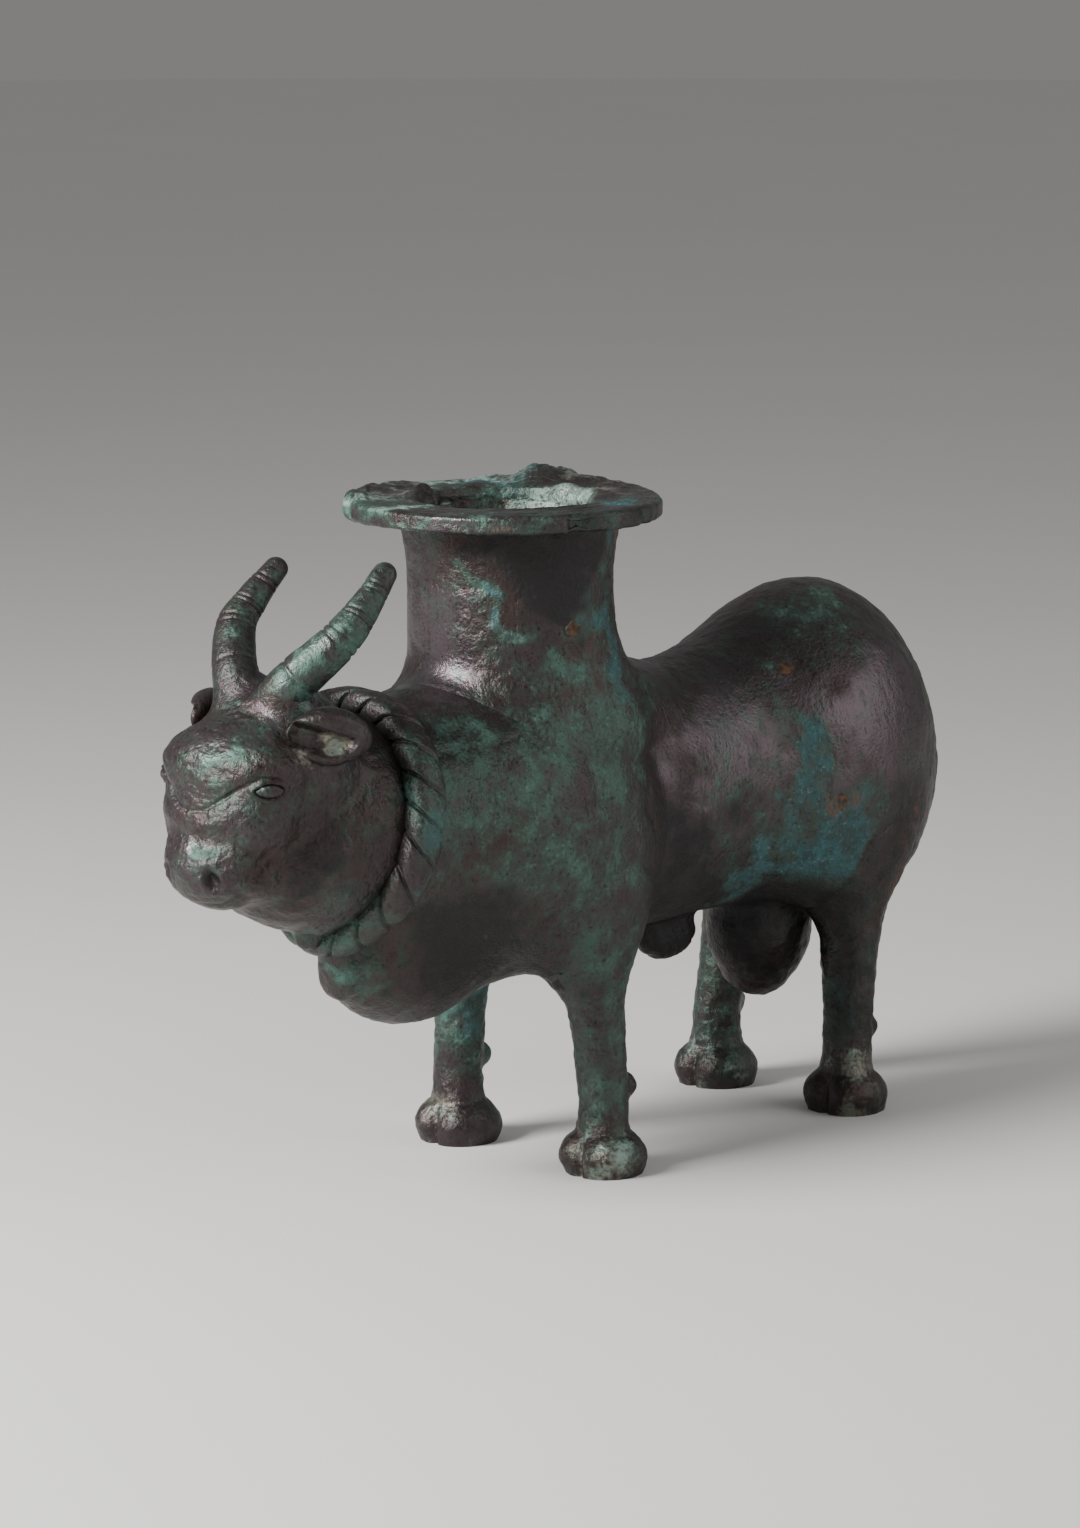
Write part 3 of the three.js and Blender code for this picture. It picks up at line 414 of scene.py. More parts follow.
def spout_column(p):
    """The spout's outside: the distance from its axis less a radius that flares towards the rim."""
    rise = np.clip((p[..., 2] - SPOUT_TOP) / SPOUT_FLARE_HEIGHT + 1, 0, 1)
    radius = SPOUT_RADIUS + SPOUT_FLARE * rise**2
    from_axis = np.hypot(p[..., 0] - SPOUT_OFFSET, p[..., 1] - SPOUT_OFFSET)
    return np.maximum(from_axis - radius, CHEST[0][2] - p[..., 2])


def trunk_and_spout(p):
    """The trunk with the spout, which rises sharply from the neck and runs out long over the back."""
    rear = ramp(p[..., 1], -SPOUT_RADIUS, SPOUT_RADIUS)
    width = SPOUT_BLEND_FRONT + (SPOUT_BLEND_REAR - SPOUT_BLEND_FRONT) * rear
    width = np.maximum(width * ramp(p[..., 2], *SPOUT_BLEND_HEIGHTS), SPOUT_BLEND_LEAST)
    return melt(trunk(p), spout_column(p), width)


def leg_rise(z):
    """Share of the way up a leg, from the ankle to its top."""
    return np.clip((z - ANKLE) / (LEG_TOP - ANKLE), 0, 1)


def leg_field(p, leg):
    """A leg: a column that thickens upwards by a power, with two claws, a heel and a dewclaw."""
    q = folded(p)
    x, y, z = q[..., 0], q[..., 1], q[..., 2]
    rise = leg_rise(z)
    flare = PASTERN_FLARE * np.clip(1 - z / ANKLE, 0, 1) ** 2
    radius = leg.shank + (leg.root - leg.shank) * rise**LEG_SWELL + flare
    from_axis = [x - leg.x + LEG_INSET * rise, y - leg.y - leg.lean * rise, np.maximum(z - LEG_TOP, 0)]
    d = length(np.stack(from_axis, axis=-1)) - radius
    foot = (
        ((leg.x + CLAW_SPREAD, leg.y - CLAW_REACH, CLAW_HEIGHT), CLAW_HALF),
        ((leg.x - CLAW_SPREAD, leg.y - CLAW_REACH, CLAW_HEIGHT), CLAW_HALF),
        ((leg.x, leg.y + HEEL_REACH, HEEL_HEIGHT), HEEL_HALF),
        ((leg.x, leg.y + DEWCLAW_REACH, DEWCLAW_HEIGHT), DEWCLAW_HALF),
    )
    for mass, width in zip(foot, FOOT_BLENDS):
        d = melt(d, egg(q, mass), width)
    return d


def leg_and_trunk(leg):
    """Field of the trunk with one pair of legs run into it."""
    return lambda p: melt(trunk(p), leg_field(p, leg), BLEND["leg"])


# Rays and rows
HALVINGS = 12


def strike(field, starts, ways, reach=150, step=3):
    """Points where rays leave a shape, or their reach: steps until the field is above zero, then halvings."""
    starts, ways = np.broadcast_arrays(np.asarray(starts, dtype=float), ways)
    shape = ways.shape
    starts, ways = starts.reshape(-1, 3), ways.reshape(-1, 3)
    inner = np.full(len(ways), float(reach))
    waiting = np.arange(len(ways))
    for distance in np.arange(step, reach + step, step):
        out = field(starts[waiting] + distance * ways[waiting]) > 0
        inner[waiting[out]] = distance - step
        waiting = waiting[~out]
        if len(waiting) == 0:
            break
    outer = inner + step
    for _ in range(HALVINGS):
        middle = (inner + outer) / 2
        out = field(starts + middle[:, None] * ways) > 0
        outer = np.where(out, middle, outer)
        inner = np.where(out, inner, middle)
    return (starts + np.minimum(inner, reach)[:, None] * ways).reshape(shape)


def slope(field, p, step=0.15):
    """Unit normals: the way in which a field grows fastest, from small steps along each axis."""
    return unit(np.stack([field(p + step * axis) - field(p - step * axis) for axis in np.eye(3)], axis=-1))


def turn(columns):
    """Angles of a full turn, evenly spaced."""
    return np.arange(columns) * (2 * np.pi / columns)


def spine_rows(field, start, end, columns, start_fan, spans, end_fan):
    """Rings on a shape: rays square to a spine, and at its ends rays that tilt round to its own way."""
    axis = unit(end - start)
    side = unit(np.cross(UP, axis))
    angles = turn(columns)[:, None]
    outward = np.cos(angles) * side + np.sin(angles) * np.cross(axis, side)
    right_angle = np.pi / 2
    tilts = np.concatenate([
        -right_angle * (1 - np.arange(0.25, start_fan) / start_fan),
        np.zeros(spans + 1),
        right_angle * (1 - np.arange(0.25, end_fan)[::-1] / end_fan),
    ])
    shares = np.concatenate([np.zeros(start_fan), np.linspace(0, 1, spans + 1), np.ones(end_fan)])
    origins = start + shares[:, None] * (end - start)
    ways = np.cos(tilts)[:, None, None] * outward + np.sin(tilts)[:, None, None] * axis
    return strike(field, origins[:, None, :], ways)


def level_rows(field, centres, columns, limit):
    """Rings on a shape at each height: level rays from a centre line, stopped at a largest radius."""
    angles = turn(columns)
    outward = np.stack([np.cos(angles), np.sin(angles), np.zeros(columns)], axis=-1)
    return strike(field, centres[:, None, :], outward[None], limit, 2)


def grid_faces(rows, columns, closed_rows=False):
    """Corner numbers of the quads of a grid whose columns run right round, and its rows too if asked."""
    row = np.arange(rows if closed_rows else rows - 1)[:, None]
    column = np.arange(columns)[None, :]
    after = (row + 1) % rows
    beside = (column + 1) % columns
    here, ahead = row * columns, after * columns
    corners = (here + column, here + beside, ahead + beside, ahead + column)
    return np.stack([np.broadcast_to(c, (len(row), columns)) for c in corners], axis=-1).reshape(-1, 4)


def capped(rows):
    """Points and faces of a stack of rings, shut by the middle point of the first and of the last ring."""
    count, columns = rows.shape[:2]
    points = np.concatenate([rows.reshape(-1, 3), rows[:1].mean(axis=1), rows[-1:].mean(axis=1)])
    column = np.arange(columns)
    beside = (column + 1) % columns
    last = (count - 1) * columns
    first_fan = np.stack([np.full(columns, count * columns), beside, column], axis=-1)
    last_fan = np.stack([np.full(columns, count * columns + 1), last + column, last + beside], axis=-1)
    return points, grid_faces(count, columns), np.concatenate([first_fan, last_fan])


def looped(rows):
    """Points and faces of rings that follow each other right round, as on a torus."""
    count, columns = rows.shape[:2]
    return rows.reshape(-1, 3), grid_faces(count, columns, closed_rows=True), np.zeros((0, 3), dtype=int)


# Marks of age: patches, each a centre and half sizes in millimetres, and a strength
# Some of these marks are painted light: the sheen patches hold painted highlights, the black ones painted
# shade.
PATCHES = {
    "verdigris": (
        ((35, 100, 95), (18, 20, 20), 0.7), ((39, 107, 122), (12, 11, 18), 0.7),
        ((33, 103, 141), (8, 7, 11), 0.5), ((39, 121, 87), (12, 10, 15), 0.6),
        ((26, 82, 84), (10, 14, 9), 0.5), ((31, 14, 192), (9, 9, 26), 0.6),
        ((34, 8, 171), (10, 12, 16), 0.45), ((27, -19, 166), (5, 5, 7), 0.35),
        ((30, -16, 160), (8, 7, 11), 0.4), ((40, -17, 137), (17, 22, 19), 0.38),
        ((40, 14, 142), (13, 17, 15), 0.42), ((45, -4, 104), (12, 18, 21), 0.34),
        ((40, -36, 108), (12, 16, 18), 0.3), ((28, -42, 146), (12, 12, 14), 0.3),
        ((28, 34, 150), (14, 16, 10), 0.42), ((34, -60, 128), (12, 14, 20), 0.34),
        ((1, -76, 74), (10, 6, 9), 0.6), ((33, 11, 48), (20, 20, 34), 0.38),
        ((-33, 11, 44), (20, 20, 34), 0.5), ((0, 134, 34), (60, 20, 26), 0.3),
        ((15, 127, 171), (18, 17, 8), 0.36), ((12, -130, 150), (12, 9, 8), 0.36),
        ((9, -136, 134), (9, 6, 4), 0.3), ((8, -136, 117), (7, 6, 5), 0.8),
        ((10, -92, 92), (18, 12, 9), 0.3), ((-42, -14, 128), (14, 22, 24), 0.42),
        ((-36, 58, 118), (12, 16, 20), 0.45), ((-41, 132, 112), (12, 20, 22), 0.4),
        ((-32, -6, 188), (12, 16, 16), 0.4), ((-20, 30, 152), (14, 16, 10), 0.35),
        ((-16, -104, 140), (14, 16, 12), 0.3), ((0, 178, 130), (12, 12, 18), 0.3),
        ((-25, -42, 212), (26, 18, 8), 0.6), ((-40, 20, 214), (22, 28, 6), 0.5),
        ((36, 28, 215), (18, 18, 3), 0.5), ((20, -90, 184), (14, 22, 22), 0.32),
        ((-20, -90, 184), (12, 20, 20), 0.22), ((4, -42, 215), (36, 10, 3), 0.4),
    ),
    "blue": (
        ((36, 102, 100), (22, 26, 34), 0.9), ((31, 14, 190), (12, 12, 30), 0.8),
        ((34, -72, 104), (12, 12, 22), 0.7), ((22, -24, 180), (10, 8, 14), 0.6),
        ((-36, 58, 118), (16, 20, 24), 0.8), ((-32, 11, 44), (14, 14, 20), 0.5),
        ((40, 22, 214), (20, 22, 8), 0.5), ((-30, 34, 216), (22, 16, 8), 0.6),
    ),
    # Black: dark patina in places, and painted shade under the chest, belly and dewlap, between shoulder and
    # barrel, on the cheeks and behind the haunches and rear legs.
    "black_patina_and_painted_shade": (
        ((27, -14, 199), (18, 20, 14), 1.0), ((31, -4, 188), (9, 11, 11), 0.8),
        ((20, -48, 82), (24, 26, 18), 0.8),
        ((0, 68, 72), (40, 66, 14), 0.9), ((24, -106, 117), (9, 16, 13), 0.7),
        ((32, 127, 46), (16, 16, 34), 0.7), ((42, 146, 84), (12, 12, 17), 0.6),
        ((36, 52, 96), (12, 19, 15), 1.0), ((0, -30, 64), (24, 36, 14), 0.8),
        ((24, 84, 160), (16, 26, 9), 0.7), ((30, 150, 150), (10, 12, 16), 0.35),
        ((-24, -104, 120), (9, 17, 15), 0.6), ((-38, 92, 88), (12, 26, 14), 0.7),
        ((-30, 40, 92), (14, 14, 12), 0.5), ((47, 8, 211), (6, 34, 5), 0.5),
    ),
    # Sheen: smooth rubbed places, where the lighter rubbed colour is also a painted highlight on the
    # forehead, muzzle, horn, spout, barrel, haunch and the rim's front edge.
    "sheen": (
        ((4, -34, 165), (15, 12, 15), 1.0), ((31, 68, 130), (15, 25, 24), 0.9),
        ((42, 135, 136), (17, 24, 28), 0.95), ((2, -138, 120), (12, 8, 10), 0.8),
        ((8, -126, 154), (15, 12, 8), 0.7), ((12, -47, 211), (17, 8, 5), 0.8),
        ((17, -97, 178), (10, 18, 20), 0.7), ((-34, 84, 128), (15, 26, 22), 0.9),
        ((-40, 128, 146), (16, 24, 18), 0.8), ((-18, -28, 174), (16, 14, 18), 0.7),
    ),
    "rust": (
        ((41, 114, 107), (6.5, 6.5, 5.5), 0.95), ((25, 104, 151), (4, 5, 4), 0.8),
        ((33, -4, 176), (2.5, 2.5, 3), 0.8), ((36, -34, 211), (9, 8, 4), 0.85),
        ((43, 146, 80), (9, 9, 14), 0.65), ((-8, -136, 107), (4, 4, 4), 0.8),
        ((-41, 114, 107), (6, 6, 5), 0.95), ((-25, 104, 151), (4, 5, 4), 0.8),
        ((-33, -4, 176), (2.5, 2.5, 3), 0.8), ((-29, 124, 8), (13, 13, 8), 0.4),
        ((29, 126, 8), (13, 13, 8), 0.4), ((32, 30, 214), (14, 14, 3), 0.4),
        ((-22, -92, 184), (7, 7, 8), 0.8), ((41, 150, 116), (6, 10, 26), 0.55),
    ),
    "dust": (
        ((33, 9, 5), (19, 19, 11), 0.8), ((-33, 9, 5), (19, 19, 11), 0.8),
        ((29, 131, 5), (19, 19, 10), 0.7), ((-29, 131, 5), (19, 19, 11), 0.8),
        ((25, -112, 151), (5, 7, 6), 0.8), ((-25, -112, 151), (5, 7, 6), 0.7),
        ((-22, -8, 207), (10, 16, 7), 0.7),
        # The first patch here, on the forehead, is a painted highlight.
        ((13, -131, 152), (9, 7, 5), 0.3), ((16, 128, 172), (10, 12, 5), 0.3),
        ((-20, -38, 215), (30, 16, 4), 0.8), ((44, -4, 98), (6, 9, 8), 0.3),
        ((-38, 8, 216), (18, 34, 6), 0.8), ((-10, 40, 218), (30, 12, 8), 0.9),
    ),
}
# How strong each mark is between its patches
GROUND_LEVEL = {"verdigris": 0.26, "blue": 0.25, "black_patina_and_painted_shade": 0.12, "sheen": 0.12, "rust": -0.1, "dust": 0.0}
# How much greener or barer than the hide each kind of piece is
CRUST_GAIN = {
    "hide": 0.0, "green": 0.16, "dark": -0.1, "flange": 0.12, "eye": 0.1, "copper": -0.1, "pin": 0.0,
}

# A thin winding streak of blue green salts down the spout
SPOUT_STREAK = (
    (9.9, -30.6, 195.3), (14, -28.9, 189.8), (21.6, -24.2, 186.7), (21.6, -24.2, 178.5), (24.2, -22, 172.9),
    (26, -19.9, 170.1),
)
STREAK_STRENGTH = 0.6
STREAK_WIDTH = 2.4


def patina(p):
    """Strength of each mark, of age or of painted light and shade: ground level, cloudy noise, a bell round
    each patch, and one streak.
    """
    ragged = p + np.stack([uneven(p, noise) for noise in RAGGED_EDGES], axis=-1)
    marks = {}
    for number, (mark, patches) in enumerate(PATCHES.items()):
        strength = GROUND_LEVEL[mark] + uneven(p, CLOUDS._replace(seed=CLOUDS.seed + number))
        for centre, half, amount in patches:
            share = (ragged - np.array(centre)) / np.array(half)
            strength = strength + amount * np.exp(-0.9 * (share * share).sum(axis=-1) ** 1.5)
        marks[mark] = np.clip(strength, 0, 1)
    streak = STREAK_STRENGTH * groove(p + 0.3 * (ragged - p), SPOUT_STREAK, STREAK_WIDTH)
    marks["verdigris"] = np.clip(marks["verdigris"] + streak, 0, 1)
    return marks


def casting_relief(p, depth):
    """Height of the skin: slow dents, a fine grain, and where the crust grows, a rough scale with pits."""
    marks = patina(p)
    crust = ramp(marks["verdigris"] + uneven(p, CRUST_EDGE), 0.4, 0.75)
    smooth = ramp(marks["sheen"], 0.3, 0.8)
    dents = uneven(p, BROAD_DENTS) + uneven(p, SMALL_DENTS)
    scale = crust * (SCALE_LIFT + uneven(p, SCALE))
    hollows = pitted(p, LARGE_PITS) * (0.2 + crust) + pitted(p, SMALL_PITS) * crust
    rough = (uneven(p, GRAIN) + scale - hollows) * (1 - 0.8 * smooth)
    return depth * (dents * (1 - 0.5 * smooth) + rough)


def groove(p, path, width):
    """A cut along a broken line: 1 on the line, falling away as a bell with the distance from it."""
    path = np.array(path, dtype=float)
    nearest = np.full(p.shape[:-1], 1e3)
    for start, end in zip(path[:-1], path[1:]):
        nearest = np.minimum(nearest, rod(p, (start, end, 0, 0)))
    return bell(nearest, width)


# Lines cut into the shoulder, flank and face
SHOULDER_LINE = ((44.9, -8.7, 121.4), (44.6, 2, 121.9), (43.2, 14, 122.4))
FLANK_LINE = ((36.2, 32, 119.6), (34.5, 46, 116.2), (35, 56, 112))
SHOULDER_EDGE = ((39.5, 26, 124), (41.8, 22, 117.5), (39.6, 28.2, 109), (37, 31, 98), (36, 30, 86))
BROW_LINE = (
    (0, -136.2, 131.4), (5, -135.4, 132.2), (9.5, -134, 134.6), (13.7, -131.7, 137.3),
    (18.6, -129.1, 140.5), (22, -126.2, 142.8), (25.4, -121.4, 141.8),
)
NOSE_LINE = ((0, -137.2, 124.6), (6, -136.4, 123.4), (11.5, -133.6, 124), (16, -129.8, 126.5))
MOUTH_LINE = ((0, -132.8, 101.8), (8, -130.4, 102.4), (13.5, -126.9, 104.4))
CHEEK_FOLD = ((13, -126.5, 103.6), (16.5, -127.6, 107.6), (18.6, -126.6, 111.5), (20.1, -121.8, 117))
NOSTRIL = np.array([10.2, -135.7, 110.8])

# How deep and how wide each line is cut, in millimetres
Cut = namedtuple("Cut", "path depth width")
BODY_CUTS = (Cut(SHOULDER_LINE, 0.9, 0.9), Cut(FLANK_LINE, 0.9, 0.8), Cut(SHOULDER_EDGE, 0.7, 1.8))
FACE_CUTS = (
    Cut(BROW_LINE, 0.8, 3.2), Cut(NOSE_LINE, 1.3, 3.6), Cut(MOUTH_LINE, 0.45, 0.9), Cut(CHEEK_FOLD, 3.2, 3.4),
)
BROW_CREASE_WIDTH = 0.8

# Raised and sunken rings: height in millimetres, distance from the middle, and width.
# The last two are shares of the outline for the eye, and millimetres for the nostril.
Ring = namedtuple("Ring", "height middle width")
EYE_RINGS = (Ring(1.2, 1.3, 0.18), Ring(-0.45, 1.72, 0.16))
SOCKET_DEPTH = 1.3
NOSTRIL_RINGS = (Ring(0.5, 3.4, 1.2), Ring(-2.8, 0, 2.3))


def cut_depth(p, cuts):
    """Depths of cut lines, added up."""
    return sum(cut.depth * groove(p, cut.path, cut.width) for cut in cuts)


def ringed(distance, rings):
    """Heights of raised and sunken rings, added up."""
    return sum(ring.height * bell(distance - ring.middle, ring.width) for ring in rings)


def body_lines(p, depth):
    """Heights of the lines cut into the body."""
    return -depth * cut_depth(p, BODY_CUTS)


def eye_axes(side):
    """Place of an eye on the face, the way towards its outer corner, its way up and its way out."""
    mirror = np.array([side, 1, 1])
    centre = strike(face, EYE_ORIGIN * mirror, unit(EYE_AIM * mirror))
    out = slope(face, centre)
    along = unit(np.cross(UP, out)) * side
    return centre, along, unit(np.cross(out, along) * side), out


def eye_share(q):
    """How far points of the left side lie from the eye's middle, as a share of its almond outline."""
    centre, along, up, out = eye_axes(1)
    gap = q - centre
    across = gap @ along / EYE_HALF[0]
    upward = gap @ up / EYE_HALF[1] * (1 + EYE_POINT * across**2)
    return np.hypot(across, upward) + (gap @ out / EYE_FADE) ** 2


def nostril_gap(q):
    """Distance of points of the left side from the nostril, a comma that leans outwards as it drops."""
    gap = q - NOSTRIL
    lean = gap[..., 0] + 0.3 * gap[..., 2]
    return np.sqrt(lean**2 + gap[..., 1] ** 2 + (0.62 * gap[..., 2]) ** 2)


def face_lines(p, depth):
    """Heights of the face: its cut lines, the nostrils, the eyes' lids and sockets, and fine wrinkles."""
    q = folded(p)
    crease = groove(q, BROW_LINE, BROW_CREASE_WIDTH) * (0.6 + 0.7 * ramp(q[..., 0], 4, 14))
    height = ringed(nostril_gap(q), NOSTRIL_RINGS) - crease - cut_depth(q, FACE_CUTS)
    eye = eye_share(q)
    height = height + ringed(eye, EYE_RINGS) - SOCKET_DEPTH * ramp(eye, 1.12, 0.85)
    return depth * (height + uneven(p * WRINKLE_STRETCH, WRINKLES))


def worked(rows, field, depth, lines=None):
    """Rows moved along their normals by the casting's relief and by any cut lines."""
    height = casting_relief(rows, depth)
    if lines is not None:
        height = height + lines(rows, depth)
    return rows + slope(field, rows) * height[..., None]


def sunk(rows, field, past, depth=0.25, run=5):
    """Rows that dip under a neighbour: lowered along the normal by how far they run past a joint."""
    drop = depth * np.clip(past / run, 0, 1)
    return rows - slope(field, rows) * drop[..., None]


def swallowed(shown, rows, field, within, drop):
    """Rows that dip under the trunk's skin where they lie in it, so that only one of the two shows."""
    return sunk(shown, field, 1 - ramp(trunk(rows), 0, within), drop, 1)


# Materials


def add_node(tree, kind, inputs=None, **settings):
    """Adds one node, sets its options, and gives its inputs a value or a link from another node's output."""
    made = tree.nodes.new(kind)
    for option, value in settings.items():
        setattr(made, option, value)
    for socket, value in (inputs or {}).items():
        if isinstance(value, bpy.types.NodeSocket):
            tree.links.new(value, made.inputs[socket])
        else:
            made.inputs[socket].default_value = value
    return made


def new_material(name):
    """An empty node material, its tree and its shader."""
    material = bpy.data.materials.new(name)
    material.use_nodes = True
    tree = material.node_tree
    return material, tree, tree.nodes["Principled BSDF"]


def per_metre(size_mm):
    """Noise scale whose features are about a size in millimetres, on coordinates in metres."""
    return 1 / (size_mm * MM)


def opaque(colour):
    """A colour with full cover."""
    return (*colour, 1.0)


# The patina's tables. Noise patterns: size in millimetres, stretch along Z, detail.
# The fine grain of a real casting is under a millimetre, and it is drawn coarser here so that it shows.
PATTERNS = {
    "broad": (28, 1.0, 4.0),
    "medium": (7, 1.0, 5.0),
    "fine": (1.3, 1.0, 4.0),
    "strokes": (2.2, 0.25, 3.0),
}
# How much each pattern frays the edges of the marks of age and of the painted light and shade.
FRAYS = {"medium": 1.5, "fine": 0.7, "strokes": 0.4}
# Shares of cover: what each follows, where it starts, where it is full, and its most.
SHARES = {
    "film": ("verdigris edge", 0.15, 0.8, 0.75),
    "crust": ("verdigris edge", 0.5, 1.1, 0.8),
    "rusty": ("rust edge", 0.45, 1.05, 0.8),
    "black": ("black_patina_and_painted_shade edge", 0.25, 0.95, 0.9),
    "dusty": ("dust edge", 0.4, 1.05, 0.75),
    "gleam": ("sheen", 0.2, 0.85, 1.0),
    "bluish": ("blue", 0.2, 0.9, 1.0),
    "shade": ("hollow", 0.1, 0.9, 0.95),
    "redness": ("broad", 0.38, 0.64, 0.7),
    "scuffs": ("strokes", 0.52, 0.72, 0.4),
    "salt": ("medium", 0.32, 0.68, 1.0),
    "specks": ("fine", 0.56, 0.74, 0.5),
    "pitting": ("fine", 0.43, 0.3, 0.6),
}
# Colours laid over each other: the result, its share, what lies below and what comes on top.
LAYERS = (
    ("metal", "redness", "base", "bronze_red"),
    # Painted highlight: lighter bronze on the sheen patches, which are also rubbed smooth.
    ("metal", "gleam", "metal", "rubbed_bronze_and_painted_highlight"),
    ("metal", "film", "metal", "green_film"),
    ("metal", "scuffs", "metal", "bronze_dark"),
    # Black patches: dark patina, and painted shade under the body and between parts.
    ("metal", "black", "metal", "black_patina_and_painted_shade"),
    ("green", "salt", "verdigris_deep", "verdigris"),
    ("blue", "salt", "azure_deep", "azure"),
    ("salts", "bluish", "green", "blue"),
    ("salts", "specks", "salts", "pale_crust"),
    ("salts", "black", "salts", "verdigris_deep"),
    ("iron", "salt", "rust_deep", "rust"),
    ("cover", "crust", "metal", "salts"),
    ("earth", "film", "dust", "pale_crust"),
    ("cover", "dusty", "cover", "earth"),
    ("cover", "rusty", "cover", "iron"),
    ("cover", "pitting", "cover", "black_patina_and_painted_shade"),
    # Painted shade: black laid in the cut lines, the nostrils, round the eyes, in the ear's cup under its rim
    # and down the bore.
    ("cover", "shade", "cover", "black_patina_and_painted_shade"),
)
# How the surface answers light: the result, its source, a factor, and what is added.
ANSWERS = (
    ("dull", "crust", 1.0, "rusty"),
    ("dull", "black", 0.5, "dull"),
    ("smooth", "gleam", -0.1, 0.29),
    ("uneven", "fine", 0.22, "smooth"),
    ("rough", "dull", 0.3, "uneven"),
    ("metallic", "dull", -0.6, 0.72),
    ("height", "medium", 0.35, 0.0),
    ("height", "strokes", 0.7, "height"),
    ("height", "fine", 1.2, "height"),
    ("calm", "gleam", -0.16, 0.4),
    ("strength", "dull", 0.2, "calm"),
)
# Height of the drawn grain and spacing of the circles turned into the flange, in millimetres
GRAIN_HEIGHT = 1.1
RING_SPACING = 1.3


def patinated_bronze(name, finish, base, rings):
    """Cast tin bronze after burial: brown metal with a soft gleam and lighter painted highlights, crusted by
    green and blue salts.
    """
    material, tree, shader = new_material(name)
    place = add_node(tree, "ShaderNodeTexCoord").outputs["Object"]
    value = {}
    for pattern, (size, stretch, detail) in PATTERNS.items():
        factors = {0: place, 1: (1.0, 1.0, stretch)}
        drawn = add_node(tree, "ShaderNodeVectorMath", factors, operation="MULTIPLY")
        settings = {"Vector": drawn.outputs[0], "Scale": per_metre(size), "Detail": detail, "Roughness": 0.6}
        value[pattern] = add_node(tree, "ShaderNodeTexNoise", settings).outputs["Fac"]
    if rings:
        value["strokes"] = turned_rings(tree, place)
    fray = -0.5 * sum(FRAYS.values())
    for pattern, weight in FRAYS.items():
        terms = {0: value[pattern], 1: weight, 2: fray}
        fray = add_node(tree, "ShaderNodeMath", terms, operation="MULTIPLY_ADD").outputs[0]
    for mark in (*PATCHES, "hollow"):
        value[mark] = add_node(tree, "ShaderNodeAttribute", attribute_name=mark).outputs["Fac"]
        frayed = add_node(tree, "ShaderNodeMath", {0: value[mark], 1: fray}, operation="ADD")
        value[mark + " edge"] = frayed.outputs[0]
    for share, (source, start, full, most) in SHARES.items():
        limits = {"Value": value[source], "From Min": start, "From Max": full, "To Max": most}
        cover = add_node(tree, "ShaderNodeMapRange", limits, interpolation_type="SMOOTHSTEP")
        value[share] = cover.outputs[0]
    colour = {setting: opaque(getattr(finish, setting)) for setting in finish.__annotations__}
    colour["base"] = opaque(base)
    for result, share, below, above in LAYERS:
        pair = {"Factor": value[share], "A": colour[below], "B": colour[above]}
        colour[result] = add_node(tree, "ShaderNodeMix", pair, data_type="RGBA").outputs["Result"]
    for result, source, factor, rest in ANSWERS:
        terms = {0: value[source], 1: factor, 2: value.get(rest, rest)}
        value[result] = add_node(tree, "ShaderNodeMath", terms, operation="MULTIPLY_ADD").outputs[0]
    relief = {"Strength": value["strength"], "Distance": GRAIN_HEIGHT * MM, "Height": value["height"]}
    bump = add_node(tree, "ShaderNodeBump", relief)
    tree.links.new(colour["cover"], shader.inputs["Base Color"])
    tree.links.new(value["rough"], shader.inputs["Roughness"])
    tree.links.new(value["metallic"], shader.inputs["Metallic"])
    tree.links.new(bump.outputs["Normal"], shader.inputs["Normal"])
    return material


def turned_rings(tree, place):
    """Pattern of fine circles round the spout's axis: noise along the radius alone."""
    centred = add_node(tree, "ShaderNodeVectorMath", {0: place, 1: tuple(SPOUT_FOOT)}, operation="SUBTRACT")
    factors = {0: centred.outputs[0], 1: (1.0, 1.0, 0.0)}
    level = add_node(tree, "ShaderNodeVectorMath", factors, operation="MULTIPLY")
    radius = add_node(tree, "ShaderNodeVectorMath", {0: level.outputs[0]}, operation="LENGTH")
    settings = {"W": radius.outputs["Value"], "Scale": per_metre(RING_SPACING), "Detail": 3.0}
    return add_node(tree, "ShaderNodeTexNoise", settings, noise_dimensions="1D").outputs["Fac"]


def rusted_iron(name, finish):
    """Wrought iron pins rusted through: matt orange and dark brown grains with green salts and no gleam."""
    material, tree, shader = new_material(name)
    place = add_node(tree, "ShaderNodeTexCoord").outputs["Object"]
    colour = opaque(finish.rust_deep)
    grains = ((2.4, 0.35, 0.65, finish.rust), (1.6, 0.52, 0.66, finish.verdigris_deep))
    for size, start, full, above in grains:
        settings = {"Vector": place, "Scale": per_metre(size), "Detail": 4.0}
        noise = add_node(tree, "ShaderNodeTexNoise", settings)
        limits = {"Value": noise.outputs["Fac"], "From Min": start, "From Max": full}
        share = add_node(tree, "ShaderNodeMapRange", limits, interpolation_type="SMOOTHSTEP").outputs[0]
        pair = {"Factor": share, "A": colour, "B": opaque(above)}
        colour = add_node(tree, "ShaderNodeMix", pair, data_type="RGBA").outputs["Result"]
    relief = {"Strength": 0.7, "Distance": 0.5 * MM, "Height": noise.outputs["Fac"]}
    bump = add_node(tree, "ShaderNodeBump", relief)
    tree.links.new(colour, shader.inputs["Base Color"])
    tree.links.new(bump.outputs["Normal"], shader.inputs["Normal"])
    shader.inputs["Roughness"].default_value = 0.9
    return material


